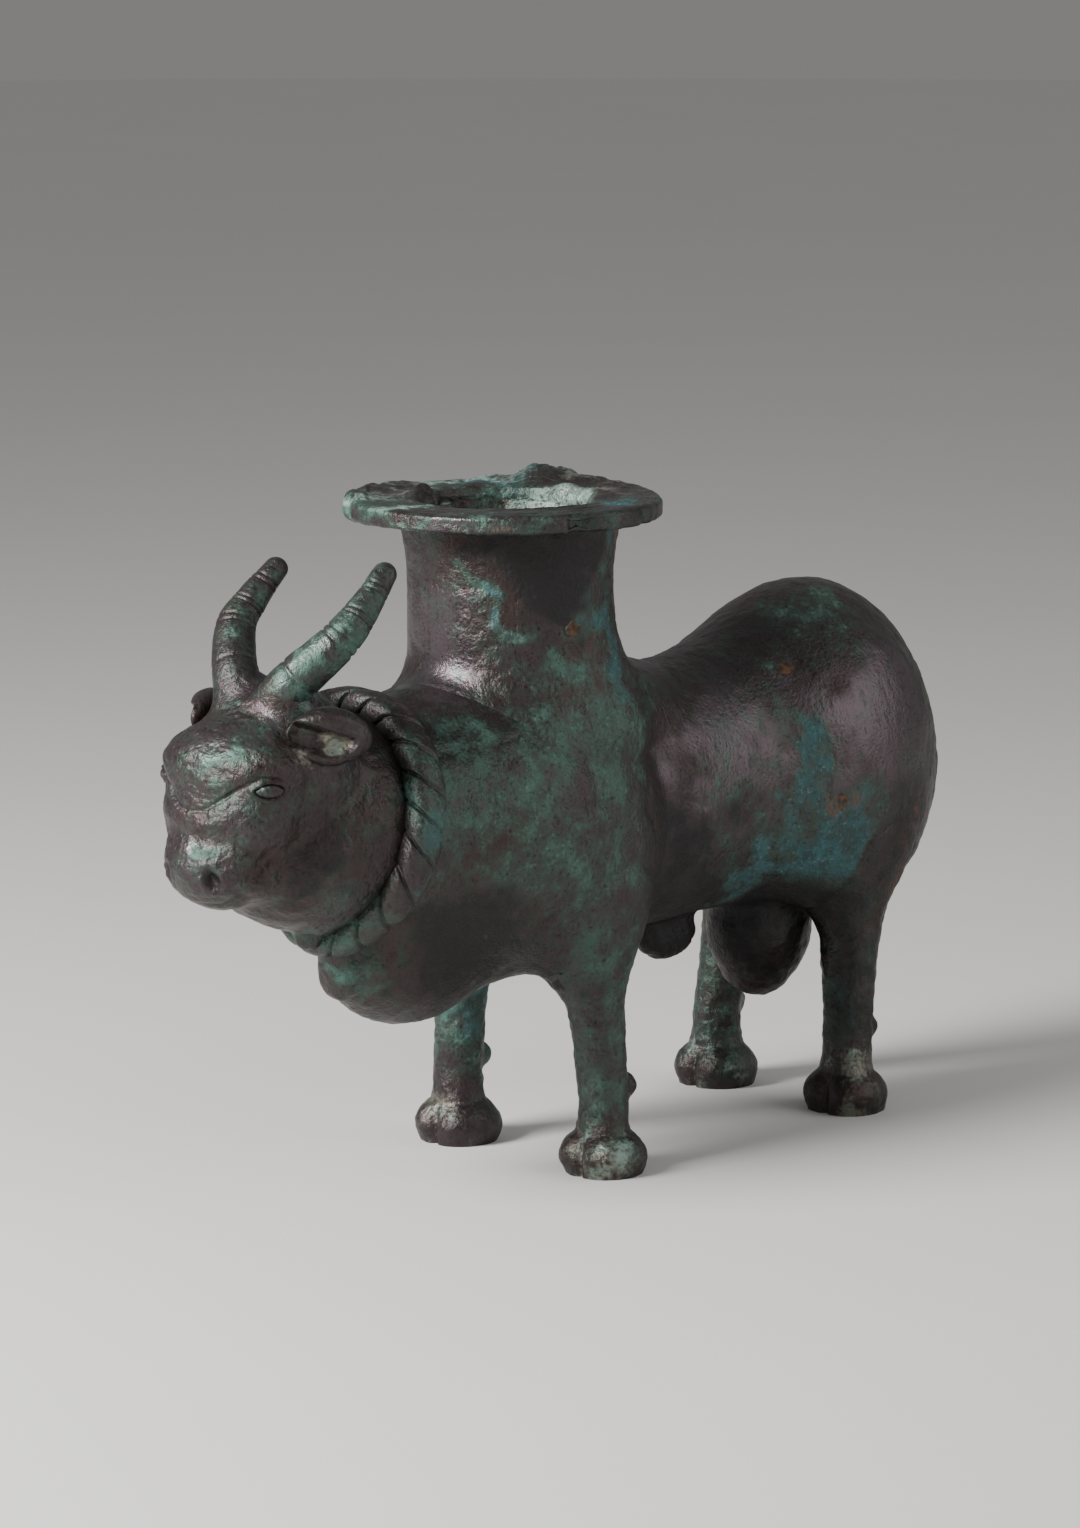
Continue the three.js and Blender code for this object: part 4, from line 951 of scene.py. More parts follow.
def studio_floor(name, colour):
    """Matt painted board: pale, with the faint cloudiness of a rolled coat."""
    material, tree, shader = new_material(name)
    place = add_node(tree, "ShaderNodeTexCoord").outputs["Object"]
    coat = add_node(tree, "ShaderNodeTexNoise", {"Vector": place, "Scale": per_metre(180), "Detail": 3.0})
    darker = tuple(share * 0.96 for share in colour)
    pair = {"Factor": coat.outputs["Fac"], "A": opaque(darker), "B": opaque(colour)}
    shade = add_node(tree, "ShaderNodeMix", pair, data_type="RGBA")
    tree.links.new(shade.outputs["Result"], shader.inputs["Base Color"])
    shader.inputs["Roughness"].default_value = 0.85
    return material


# The material of each kind of piece
MATERIAL_NAMES = {
    "hide": "Cast bronze, brown with verdigris",
    "green": "Cast bronze, green crust",
    "dark": "Cast bronze, black as painted shade",
    "flange": "Turned bronze flange, pale verdigris",
    "eye": "Burnished bronze",
    "copper": "Cast bronze, rubbed to a copper tone",
    "pin": "Rusted wrought iron",
}


def material_of(kind, finish):
    """The material of a kind of piece, made once."""
    name = MATERIAL_NAMES[kind]
    found = bpy.data.materials.get(name)
    if found:
        return found
    if kind == "pin":
        return rusted_iron(name, finish)
    # The dark kind takes black as its base, as painted shade.
    base = {"dark": finish.black_patina_and_painted_shade, "copper": finish.copper}.get(kind, finish.bronze)
    return patinated_bronze(name, finish, base, rings=kind == "flange")


# Pieces


def make_piece(context, name, skins, kind, extra=None):
    """Joins skins into one mesh object with its marks of age and of painted light and shade, its finish and
    its place in the frame.
    """
    counts = np.cumsum([0] + [len(points) for points, _, _ in skins])
    points = np.concatenate([points for points, _, _ in skins])
    quads = np.concatenate([quads + first for (_, quads, _), first in zip(skins, counts)])
    fans = np.concatenate([fans + first for (_, _, fans), first in zip(skins, counts)])
    corners = np.concatenate([quads.ravel(), fans.ravel()])
    starts = np.concatenate([np.arange(len(quads)) * 4, len(quads) * 4 + np.arange(len(fans)) * 3])
    placed = np.clip(
        points * MM + SPOUT_FOOT, np.array(CAD_BOX[0]) + BOX_MARGIN, np.array(CAD_BOX[1]) - BOX_MARGIN
    )
    mesh = bpy.data.meshes.new(name)
    mesh.vertices.add(len(placed))
    mesh.vertices.foreach_set("co", placed.ravel())
    mesh.loops.add(len(corners))
    mesh.loops.foreach_set("vertex_index", corners)
    mesh.polygons.add(len(starts))
    mesh.polygons.foreach_set("loop_start", starts)
    mesh.update(calc_edges=True)
    mesh.shade_smooth()
    marks = patina(points)
    marks["verdigris"] = np.clip(marks["verdigris"] + CRUST_GAIN[kind], 0, 1)
    marks["hollow"] = np.zeros(len(points))
    if extra:
        extra(points, marks)
    for mark, values in marks.items():
        mesh.attributes.new(mark, "FLOAT", "POINT").data.foreach_set("value", values.astype(np.float32))
    mesh.materials.append(material_of(kind, context.scene.bull_finish))
    piece = bpy.data.objects.new(name + "_skin", mesh)
    context.collection.objects.link(piece)
    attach(piece, "root")
    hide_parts(name)
    return piece


def leg_centres(leg, side, heights):
    """Middle line of a leg: in towards the body and back by its lean as it rises."""
    rise = leg_rise(heights)
    return np.stack([side * (leg.x - LEG_INSET * rise), leg.y + leg.lean * rise, heights], axis=-1)


def leg_root_skin(leg, side, depth):
    """The top of a leg, which the body carries: level rings from the joint up, run into the trunk."""
    field = leg_and_trunk(leg)
    count, columns = LEG_ROOT_MESH
    heights = np.linspace(LEG_JOINT - OVERLAP, LEG_TOP + leg.root + LEG_ROOT_RISE, count)
    rows = level_rows(field, leg_centres(leg, side, heights), columns, leg.root + LEG_ROOT_REACH)
    shown = worked(rows, field, depth, body_lines)
    shown = swallowed(shown, rows, field, 0.7, 1.2)
    return capped(sunk(shown, field, LEG_JOINT - rows[..., 2]))


def spout_root_skin(depth):
    """The foot of the spout, which the body carries: level rings run into the hump, turned in to the bore."""
    count, columns = SPOUT_ROOT_MESH
    sunken = np.linspace(*SPOUT_ROOT_SUNKEN)
    heights = np.concatenate([sunken, np.linspace(SPOUT_ROOT_START, SPOUT_JOINT + OVERLAP, count)])
    rows = level_rows(trunk_and_spout, heights[:, None] * UP, columns, SPOUT_REACH)
    shown = worked(rows, trunk_and_spout, depth, body_lines)
    shown = swallowed(shown, rows, trunk_and_spout, 0.5, 0.7)
    shown = sunk(shown, trunk_and_spout, rows[..., 2] - SPOUT_JOINT)
    inside = bore_rings(heights[::-1][::5], columns, BORE + 0.6)
    return looped(np.concatenate([shown, inside]))


def bore_rings(heights, columns, radius):
    """Level circles round the spout's axis."""
    angles = turn(columns)
    circle = np.stack([np.cos(angles), np.sin(angles), np.zeros(columns)], axis=-1) * radius
    return circle[None] + heights[:, None, None] * UP


def body_rows(depth):
    """The trunk from the neck to the rump, with a well pressed down into it where the spout opens."""

    def clipped(p):
        return np.maximum(neck_and_head(p), (p - COLLAR_CENTRE) @ COLLAR_WAY - NECK_OVERLAP)

    rows = spine_rows(clipped, *BODY_SPINE, *BODY_MESH)
    shown = worked(rows, neck_and_head, depth, body_lines)
    shown = sunk(shown, neck_and_head, dewlap_side(rows))
    radius = np.hypot(rows[..., 0], rows[..., 1])
    pressed = ramp(radius, BORE + 3, BORE + 0.5) * (rows[..., 2] > CHEST[0][2])
    shown[..., 2] += pressed * (WELL_FLOOR - shown[..., 2])
    return shown


def dewlap_side(p):
    """Distance past the joint plane into the dewlap, which ends short of the breast and the neck."""
    way = unit(np.cross(DEWLAP_JOINT_REAR - DEWLAP_JOINT_FRONT, np.array([1.0, 0, 0])))
    past = (p - DEWLAP_JOINT_FRONT) @ way
    return np.minimum(past, DEWLAP_JOINT_REAR[1] - p[..., 1])


def dewlap_rows(depth):
    """The dewlap: rays from a line along its joint find the trunk below, and a cut shuts it in the body."""

    def clipped(p):
        return np.maximum(trunk(p), -dewlap_side(p) - OVERLAP)

    rows = spine_rows(clipped, *DEWLAP_SPINE, *DEWLAP_MESH)
    shown = worked(rows, trunk, depth, body_lines)
    return sunk(shown, trunk, -dewlap_side(rows))


def spout_rows(depth):
    """The spout: its outside from the joint up to the rim, over the lip and down the crusted bore."""
    count, columns = SPOUT_MESH
    heights = np.linspace(SPOUT_JOINT - OVERLAP, SPOUT_TOP - 0.1, count)
    outer = level_rows(trunk_and_spout, heights[:, None] * UP, columns, SPOUT_REACH)
    shown = worked(outer, trunk_and_spout, depth)
    shown = sunk(shown, trunk_and_spout, SPOUT_JOINT - outer[..., 2])
    inner = bore_rings(np.linspace(SPOUT_TOP + 2.5, SPOUT_JOINT - 7, BORE_ROWS), columns, BORE)
    inner[..., :2] *= 1 - bore_crust(inner)[..., None] / BORE
    return np.concatenate([shown, inner])


def crust_side(p):
    """Share of the crusted side of the mouth: a bell over the bearing from the spout's axis."""
    bearing = np.arctan2(p[..., 1], p[..., 0])
    return bell(bearing - CRUST_BEARING, CRUST_SPREAD)


def bore_crust(p):
    """Thickness of the crust in the bore: rough all round, with a bank on one side that grows downwards."""
    bank = crust_side(p) * ramp(p[..., 2], RIM_TOP - 1, RIM_TOP - 15)
    rough = np.maximum(BORE_CRUST + uneven(p, BORE_ROUGHNESS), 0)
    return rough + bank * (CRUST_BANK + uneven(p, BANK_ROUGHNESS))


def rim_section(steps):
    """Half section of the flange as radius, height and way out: straight runs with round outer corners."""
    low = RIM_TOP - RIM_THICKNESS
    corner = np.linspace(-np.pi / 2, 0, 9)
    inset = rim_radius() - RIM_ROUNDING
    path = [(BORE + RIM_GAP, low), (inset, low)]
    path += [(inset + RIM_ROUNDING * np.cos(a), low + RIM_ROUNDING * (1 + np.sin(a))) for a in corner]
    path += [(inset - RIM_ROUNDING * np.sin(a), RIM_TOP - RIM_ROUNDING * (1 - np.cos(a))) for a in corner]
    path += [(BORE + out, RIM_TOP - down) for out, down in RIM_EASING]
    path += [(BORE + RIM_GAP, low)]
    path = np.array(path)
    along = np.concatenate([[0], np.cumsum(length(np.diff(path, axis=0)))])
    even = np.linspace(0, along[-1], steps, endpoint=False)
    section = np.stack([np.interp(even, along, path[:, axis]) for axis in (0, 1)], axis=-1)
    tangent = np.roll(section, -1, axis=0) - np.roll(section, 1, axis=0)
    return section, unit(np.stack([tangent[:, 1], -tangent[:, 0]], axis=-1))


def rim_radius():
    """Outside radius of the flange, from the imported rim."""
    return (RIM_HIGH[0] - RIM_LOW[0]) / 2 / MM


# Lumps of crust on the flange: bearing in degrees from +X, radius, level, half sizes along and across, height
RIM_LUMPS = (
    (117, 43, 214, 12, 8, 6.2), (101, 43, 214, 13, 7, 3.2), (82, 43, 214, 14, 7, 1.9),
    (136, 42, 214, 10, 6, 1.8), (206, 45, 214, 9, 5, 2.4), (226, 46.5, 214, 6, 4, 2.6),
    (188, 43, 214, 9, 5, 1.6), (208, 27, 208, 10, 5, 6.5), (78, 28.5, 209, 22, 4, 3),
    (54, 28.5, 210, 12, 4, 2),
)
LUMP_DEPTH = 9


def rim_rows(depth):
    """The flange: its section carried round the axis, chipped, scored in circles and lumped with crust."""
    count, columns = RIM_MESH
    section, out = rim_section(count)
    angles = turn(columns)
    around = np.stack([np.cos(angles), np.sin(angles), 0 * angles], axis=-1)
    rows = section[:, None, :1] * around + section[:, None, 1:] * UP
    ways = out[:, None, :1] * around + out[:, None, 1:] * UP
    height = 0.8 * casting_relief(rows, depth) - 0.25
    edge = ramp(section[:, 0], *CHIPPED_RADII)[:, None]
    chips = np.clip(uneven(rows * np.array([1, 1, 0.4]), RIM_CHIPS) - 0.25, 0, 1)
    height = height - depth * edge * (0.35 + 2.6 * chips)
    radius, bearing = np.broadcast_arrays(section[:, :1], 0.6 * angles)
    scores = uneven(np.stack([radius, bearing, 0 * radius], axis=-1), RIM_SCORES)
    height = height + depth * scores * (out[:, 1:] > 0.7)
    return lumped(rows + ways * height[..., None], ways)


def lumped(rows, ways):
    """Rows raised along their ways by each lump of crust: a rough bell, long along the rim."""
    raised = np.zeros(rows.shape[:-1])
    rough = 0.9 + uneven(rows, LUMP_ROUGHNESS)
    for bearing, radius, level, along, across, up in RIM_LUMPS:
        angle = np.radians(bearing)
        outward = np.array([np.cos(angle), np.sin(angle), 0])
        gap = rows - radius * outward - level * UP
        shares = (gap @ np.cross(UP, outward) / along, gap @ outward / across, gap[..., 2] / LUMP_DEPTH)
        share = np.stack(shares, axis=-1)
        raised = np.maximum(raised, up * rough * np.exp(-1.1 * (share * share).sum(axis=-1) ** 1.3))
    return rows + ways * raised[..., None]


def head_rows(depth):
    """The head: rays from a line through its middle find the face, shut inside the neck behind the collar."""

    def clipped(p):
        return np.maximum(neck_and_head(p), -((p - COLLAR_CENTRE) @ COLLAR_WAY) - NECK_OVERLAP)

    rows = spine_rows(clipped, *HEAD_SPINE, *HEAD_MESH)
    return worked(rows, neck_and_head, HEAD_RELIEF * depth, face_lines)


def collar_rows(turns, cut):
    """The rope: a flat oval carried round the neck, with narrow slanting cuts between swelling strands."""
    steps, columns = COLLAR_MESH
    angles = turn(steps)[:, None]
    outward = np.cos(angles) * np.array([1.0, 0, 0]) + np.sin(angles) * COLLAR_UP

    def throat_line(p):
        return melt(quarters(p), face(p), BLEND["face"])

    middle = strike(throat_line, COLLAR_CENTRE, outward) + COLLAR_STAND * outward
    section = turn(columns)[None, :]
    phase = (turns * angles - 2 * section) / (2 * np.pi) + 0.06 * np.sin(5 * angles)
    from_cut = np.abs(phase - np.round(phase))
    strand = 1 - 0.05 * (1 - ramp(from_cut, 0, 0.5)) - cut / COLLAR_HALF_DEPTH * bell(from_cut, 0.055)
    bulk = np.sign(np.cos(section)) * np.abs(np.cos(section)) ** 0.8
    width = np.sign(np.sin(section)) * np.abs(np.sin(section)) ** 0.8
    rows = middle[:, None, :] + (COLLAR_HALF_DEPTH * strand * bulk)[..., None] * outward[:, None, :]
    rows = rows + (COLLAR_HALF_WIDTH * strand * width)[..., None] * COLLAR_WAY
    swell = uneven(rows, COLLAR_SWELL)
    return rows + swell[..., None] * outward[:, None, :] * np.clip(bulk, 0, 1)[..., None]


def catmull(points, count):
    """Evenly counted places on a smooth curve through points, with the ends' spans carried straight on."""
    padded = np.concatenate([2 * points[:1] - points[1:2], points, 2 * points[-1:] - points[-2:-1]])
    place = np.linspace(0, len(points) - 1, count)
    span = np.minimum(place.astype(int), len(points) - 2)
    t = (place - span)[:, None]
    a, b, c, d = (padded[span + i] for i in range(4))
    return 0.5 * (2 * b + (c - a) * t + (2 * a - 5 * b + 4 * c - d) * t**2 + (3 * b - a - 3 * c + d) * t**3)


def tube(path, radii, columns, hint):
    """Rings square to a path: circles of each place's radius, in the plane of two ways across the path."""
    along = unit(np.gradient(path, axis=0))
    side = unit(np.cross(hint, along))
    across = np.cross(along, side)
    angles = turn(columns)[None, :, None]
    ring = np.cos(angles) * side[:, None, :] + np.sin(angles) * across[:, None, :]
    return path[:, None, :] + radii[:, None, None] * ring, ring


def horn_rows(side, ring_depth):
    """A horn: a tube along a smooth curve that tapers to a half ball, with thin lines cut round it."""
    share = np.linspace(0, 1, len(HORN_PATH))
    points = HORN_PATH * np.array([side, 1, 1]) + (side * HORN_LIFT * share**2)[:, None] * UP
    count, columns = HORN_MESH
    t = np.linspace(0, 1, count)
    path = catmull(points, count)
    radii = HORN_RADII[0] + (HORN_RADII[1] - HORN_RADII[0]) * t
    for line in HORN_LINES:
        radii = radii - ring_depth * bell(t - line, HORN_LINE_SHARE)
    tilt = np.linspace(0.1, 1.5, HORN_TIP_ROWS)[:, None]
    tip_way = unit(path[-1] - path[-2])
    path = np.concatenate([path, path[-1] + HORN_RADII[1] * np.sin(tilt) * tip_way])
    radii = np.concatenate([radii, HORN_RADII[1] * np.cos(tilt[:, 0])])
    rows, ways = tube(path, radii, columns, np.array([1.0, 0, 0]))
    height = uneven(rows, HORN_DENTS) - pitted(rows, HORN_PITS)
    return rows + ways * (height * np.clip(radii / HORN_RADII[1], 0, 1)[:, None])[..., None]


def inside_corners(u, v, corners, rounding):
    """How far points of a plane lie inside a shape with round corners, which go round anticlockwise."""
    total = 0
    for (u0, v0), (u1, v1) in zip(corners, corners[1:] + corners[:1]):
        inside = ((u1 - u0) * (v - v0) - (v1 - v0) * (u - u0)) / np.hypot(u1 - u0, v1 - v0)
        total = total + np.exp(-inside / rounding)
    return -rounding * np.log(total)


def ear_axes():
    """The left ear's ways from root to tip, upwards and outwards."""
    way = unit(EAR_WAY)
    out = unit(np.cross(way, UP))
    return way, np.cross(out, way), out


def ear_rows(side):
    """An ear: a leaf from root to tip, its outer face pressed into an open cup under a rolled upper rim."""
    count, columns = EAR_MESH
    across = np.linspace(0.98, 0.02, count)[:, None] * np.pi
    around = turn(columns)[None, :]
    u = np.sin(across) * np.cos(around)
    narrowed = 1 - 0.16 * np.clip(u, 0, 1) ** 2 - 0.3 * np.clip(-u, 0, 1) ** 2
    v = np.sin(across) * np.sin(around) * narrowed
    w = np.cos(across) * (1 + 0.45 * ramp(v, 0.3, 0.8))
    u, v, w = (share * half for share, half in zip((u, v, w), EAR_HALF))
    cup = ramp(inside_corners(u, v, EAR_CUP, 1.0), -0.4, 3.2) * ramp(w, 0.3, 2.2)
    w = w - EAR_CUP_DEPTH * cup
    placed = EAR_CENTRE + sum(share[..., None] * way for share, way in zip((u, v, w), ear_axes()))
    rough = uneven(placed, EAR_DENTS) + cup * uneven(placed, EAR_FLOOR)
    placed = placed + rough[..., None] * unit(placed - EAR_CENTRE)
    placed[..., 0] *= side
    return placed if side > 0 else placed[:, ::-1]


def eye_rows(side):
    """An eye: an almond with pointed corners, domed outwards, with its middle on the face."""
    centre, along, up, out = eye_axes(side)
    count, columns = EYE_MESH
    rows = np.linspace(0.02, 0.98, count)[:, None] * np.pi
    around = turn(columns)[None, :]
    a = np.sin(rows) * np.cos(around)
    b = np.sin(rows) * np.sin(around) * (1 - EYE_POINT * a**2)
    c = -np.cos(rows) + 0 * around
    ways = zip((a, b, c), EYE_HALF, (along, up, out))
    placed = centre - EYE_DEPTH * out + sum((share * half)[..., None] * way for share, half, way in ways)
    return placed if side > 0 else placed[:, ::-1]


def leg_rows(leg, side, depth):
    """A leg below the joint: level rings from the flat sole over the claws and the shank."""
    field = leg_and_trunk(leg)
    count, columns = LEG_MESH
    heights = np.concatenate([[0.0, 0.25], np.linspace(0.6, LEG_JOINT + OVERLAP, count)])
    middles = leg_centres(leg, side, heights)
    rows = level_rows(field, middles, columns, leg.root + LEG_REACH)
    moved = worked(rows, field, depth)
    moved[..., 2] = np.where(heights[:, None] < 0.5, heights[:, None], np.maximum(moved[..., 2], 0.1))
    moved = sunk(moved, field, rows[..., 2] - LEG_JOINT)
    moved[..., :2] += (middles[:, None, :] - moved)[..., :2] * hoof_cleft(rows, leg)[..., None]
    return moved


def hoof_cleft(p, leg):
    """Share by which a hoof draws in at the cleft between its claws and at the groove round the coronet."""
    x = np.abs(p[..., 0]) - leg.x
    front = ramp(leg.y - p[..., 1], 4, 10)
    low = ramp(p[..., 2], 13, 8)
    cleft = CLEFT_SHARE * bell(x, CLEFT_WIDTH) * front * low
    coronet = CORONET_SHARE * bell(p[..., 2] - CORONET_HEIGHT, CORONET_WIDTH)
    return cleft + coronet


def tail_rows(depth):
    """The tail: for each height a strip of the rump, raised across the tail and shut underneath."""
    count, columns = TAIL_MESH
    t = np.linspace(0, 1, count)[:, None]
    across = np.linspace(-1, 1, columns)[None, :]
    z = TAIL_ENDS[0] + (TAIL_ENDS[1] - TAIL_ENDS[0]) * t
    radius = TAIL_RADII[0] + (TAIL_RADII[1] - TAIL_RADII[0]) * t
    swing = TAIL_SWING * np.sin(t * np.pi * TAIL_SWAY) + across * radius * TAIL_SPREAD / RUMP[1][1]
    outward = np.stack([np.sin(swing), np.cos(swing), 0 * swing], axis=-1)
    origin = np.stack([0 * z, RUMP[0][1] + 0 * z, z], axis=-1)
    base = strike(trunk, origin, outward)
    normal = slope(trunk, base)
    shape = np.maximum(1 - across**2, 0) ** 0.8
    shape = shape * ramp(t, 0, TAIL_ROOT_SHARE) * np.sqrt(np.clip((1 - t) / TAIL_TIP_SHARE, 0, 1))
    height = casting_relief(base, depth) + radius * TAIL_STAND * shape - TAIL_EDGE_DROP * (1 - shape)
    top = base + normal * height[..., None]
    below = base - TAIL_INSIDE * normal
    return np.concatenate([top, below[:, ::-1]], axis=1)


def hanging_rows(mass, depth, ridges=0.0):
    """A hanging part: level rings from its lowest point up into the trunk, with wrinkles if asked."""
    (x, y, z), half = mass

    def field(p):
        return melt(trunk(p), egg(p, mass), BLEND["underpart"])

    low = z - half[2]
    top = z + half[2] * 0.75
    count, columns = UNDERPART_MESH
    heights = low + (top - low) * (1 - np.cos(np.linspace(0.06, np.pi / 2, count)))
    centres = np.stack([np.full(count, x), np.full(count, y), heights], axis=-1).astype(float)
    rows = level_rows(field, centres, columns, max(half[:2]) + 4)
    shown = worked(rows, field, depth)
    folds = ridges * np.sin(rows[..., 1] * 2 * np.pi / 4.5 + 0.6 * rows[..., 2])
    melted = 1 - ramp(trunk(rows), 0, 0.25)
    return sunk(shown, field, folds + 0.5 * melted, 1, 1)


def pin_rows(place, side, depth):
    """A core pin: a bar on its corner along the wall's normal, its rough end just proud of the skin."""
    y, z, size = PINS[place]
    field = trunk_and_spout if place == "spout" else trunk
    centre = strike(field, np.array([0.0, y, z]), np.array([side, 0.0, 0.0]))
    out = slope(field, centre)
    centre = centre + casting_relief(centre, depth) * out
    along = unit(np.cross(UP, out))
    up = np.cross(out, along)
    angles = turn(PIN_COLUMNS)
    ragged = 1 + 0.1 * np.sin(3 * angles + y) + 0.08 * np.sin(5 * angles + z)
    reach = size * ragged / (np.abs(np.cos(angles)) + np.abs(np.sin(angles))) ** 0.45
    heights, shares = np.array(PIN_SECTION).T
    ring = np.cos(angles)[:, None] * along + 0.8 * np.sin(angles)[:, None] * up
    rows = centre + (shares[:, None] * reach)[..., None] * ring + heights[:, None, None] * out
    return rows + (uneven(rows, PIN_GRAIN) * (heights > 0)[:, None])[..., None] * out


# Ageing and painted shade of single pieces
MOUTH_CRUST_HEIGHTS = (190, 200)


def age_mouth_and_shade_bore(points, marks):
    """Pales the crusted side of the mouth and darkens the bore below it with painted shade."""
    radius = np.hypot(points[:, 0], points[:, 1])
    high = ramp(points[:, 2], *MOUTH_CRUST_HEIGHTS)
    crust = crust_side(points) * ramp(radius, BORE + 4, BORE + 1.2) * high
    marks["dust"] = np.maximum(marks["dust"], crust)
    marks["verdigris"] = np.clip(marks["verdigris"] + 0.4 * crust, 0, 1)
    in_bore = (radius < BORE + 1) & (points[:, 2] < SPOUT_TOP)
    marks["hollow"] = in_bore * ramp(points[:, 2], RIM_TOP - 4, SPOUT_JOINT) * (1 - 0.5 * crust)


def shade_face(points, marks):
    """Paints shade into the bottoms of the cut lines, round the eyes' outline and into the nostrils."""
    q = folded(points)
    lines = np.maximum(groove(q, BROW_LINE, 0.9), groove(q, MOUTH_LINE, 0.9)) * 0.5
    round_eye = 0.45 * bell(eye_share(q) - 1.0, 0.14)
    nostril = bell(nostril_gap(q), 2.5)
    marks["hollow"] = np.maximum(np.maximum(lines, round_eye), nostril)


def fill_ear(points, marks):
    """Lays pale earth on the floor of an ear's cup and shade under its rolled rim."""
    u, v, w = ((folded(points) - EAR_CENTRE) @ way for way in ear_axes())
    bottom = ramp(inside_corners(u, v, EAR_CUP, 1.0), 0, 2) * ramp(w, -1.2, -0.4)
    earth = bottom * (0.5 + 0.5 * ramp(u, -7, 0) + uneven(points, EAR_EARTH))
    marks["dust"] = np.maximum(marks["dust"], np.clip(earth, 0, 1))
    under_rim = 0.8 * ramp(v, 0.5, 3.5)
    at_root = 0.5 * bell(u + 4, 2.2)
    marks["hollow"] = bottom * np.maximum(under_rim, at_root)


# Settings


class BullSizes(bpy.types.PropertyGroup):
    """Sizes that a maker would change."""

    relief_depth: FloatProperty(
        name="Casting relief", description="Strength of the dents, scale and pits of the cast skin",
        default=1.0, min=0.0, max=3.0, subtype="FACTOR",
    )
    collar_turns: IntProperty(
        name="Collar cuts", description="Slanting cuts round the rope collar", default=21, min=3
    )
    collar_cut: FloatProperty(
        name="Collar cut depth", description="Depth of the cuts in the collar", default=1.1 * MM, min=0.0,
        unit="LENGTH", subtype="DISTANCE",
    )
    horn_line: FloatProperty(
        name="Horn line depth", description="Depth of the ring lines on the horns", default=0.5 * MM, min=0.0,
        unit="LENGTH", subtype="DISTANCE",
    )


def colour_property(label, text, hex_colour):
    """A colour setting with its default from an sRGB hex value."""
    return FloatVectorProperty(
        name=label, description=text, default=linear(hex_colour), size=3, min=0.0, max=1.0, subtype="COLOR"
    )


class BullFinish(bpy.types.PropertyGroup):
    """Colours of the metal and of what grew on it."""

    bronze: colour_property("Bronze", "Purple brown metal under a thin patina", "3b3335")
    bronze_red: colour_property("Red bronze", "Redder and darker clouds in the brown", "3a2d2a")
    bronze_dark: colour_property("Dark bronze", "Dark brush strokes in the brown", "241f20")
    # A lighter bronze for rubbed places, which also serves as a painted highlight.
    rubbed_bronze_and_painted_highlight: colour_property("Rubbed bronze and painted highlight", "Smooth places that gleam", "4f4549")
    copper: colour_property("Copper tone", "Ridges rubbed to a warm pale brown", "54443d")
    green_film: colour_property("Green film", "Thin grey green film over the metal", "3c4f46")
    # Black for dark patina, and for painted shade under the body and in hollows.
    black_patina_and_painted_shade: colour_property("Black", "Blackened places and hollows", "171516")
    verdigris_deep: colour_property("Deep verdigris", "Dark green under the crust", "263a34")
    verdigris: colour_property("Verdigris", "Green copper salts", "41665b")
    azure_deep: colour_property("Deep blue", "Dark blue green under the crust", "17353a")
    azure: colour_property("Blue salts", "Blue copper salts", "2c5b60")
    pale_crust: colour_property("Pale crust", "Pale grey green mineral crust", "87a099")
    # Also laid on the forehead as a painted highlight.
    dust: colour_property("Pale earth", "Pale grey brown earth in hollows and on the hooves", "80796b")
    rust_deep: colour_property("Deep rust", "Brown iron rust", "33231b")
    rust: colour_property("Rust", "Orange iron rust", "5f412d")


class BullStage(bpy.types.PropertyGroup):
    """The studio."""

    floor_colour: colour_property("Floor", "Pale floor", "d4d2cf")
    key_power: FloatProperty(
        name="Key light", description="Power of the large soft light", default=40.0, subtype="POWER"
    )
    fill_power: FloatProperty(
        name="Fill light", description="Power of the weak light", default=5.0, subtype="POWER"
    )
    sky: FloatProperty(name="Sky", description="Strength of the even light all round", default=0.3, min=0.0)
    backdrop: FloatProperty(
        name="Backdrop", description="Brightness of the wall behind", default=0.33, min=0.0
    )


# Operators


class PieceOperator:
    """What the operators of the pieces share."""

    bl_options = {"REGISTER", "UNDO"}


class BULL_OT_body(PieceOperator, bpy.types.Operator):
    """Makes the body with the roots of the legs and the spout, and the dewlap"""

    bl_idname = "bull.body"
    bl_label = "Body and dewlap"

    def execute(self, context):
        depth = context.scene.bull_sizes.relief_depth
        roots = [leg_root_skin(leg, side, depth) for leg in (FRONT_LEG, REAR_LEG) for side in SIDES.values()]
        skins = [capped(body_rows(depth)), spout_root_skin(depth), *roots]
        make_piece(context, "body_shell", skins, "hide", age_mouth_and_shade_bore)
        make_piece(context, "dewlap", [capped(dewlap_rows(depth))], "hide")
        return {"FINISHED"}


class BULL_OT_spout(PieceOperator, bpy.types.Operator):
    """Makes the spout and its flat rim"""

    bl_idname = "bull.spout"
    bl_label = "Spout and rim"

    def execute(self, context):
        depth = context.scene.bull_sizes.relief_depth
        make_piece(context, "spout", [looped(spout_rows(depth))], "hide", age_mouth_and_shade_bore)
        make_piece(context, "rim", [looped(rim_rows(depth))], "flange", age_mouth_and_shade_bore)
        return {"FINISHED"}


class BULL_OT_head(PieceOperator, bpy.types.Operator):
    """Makes the head with its cut lines, and the eyes"""

    bl_idname = "bull.head"
    bl_label = "Head and eyes"

    def execute(self, context):
        depth = context.scene.bull_sizes.relief_depth
        make_piece(context, "head", [capped(head_rows(depth))], "hide", shade_face)
        for name, side in SIDES.items():
            make_piece(context, f"eye_{name}", [capped(eye_rows(side))], "eye")
        return {"FINISHED"}


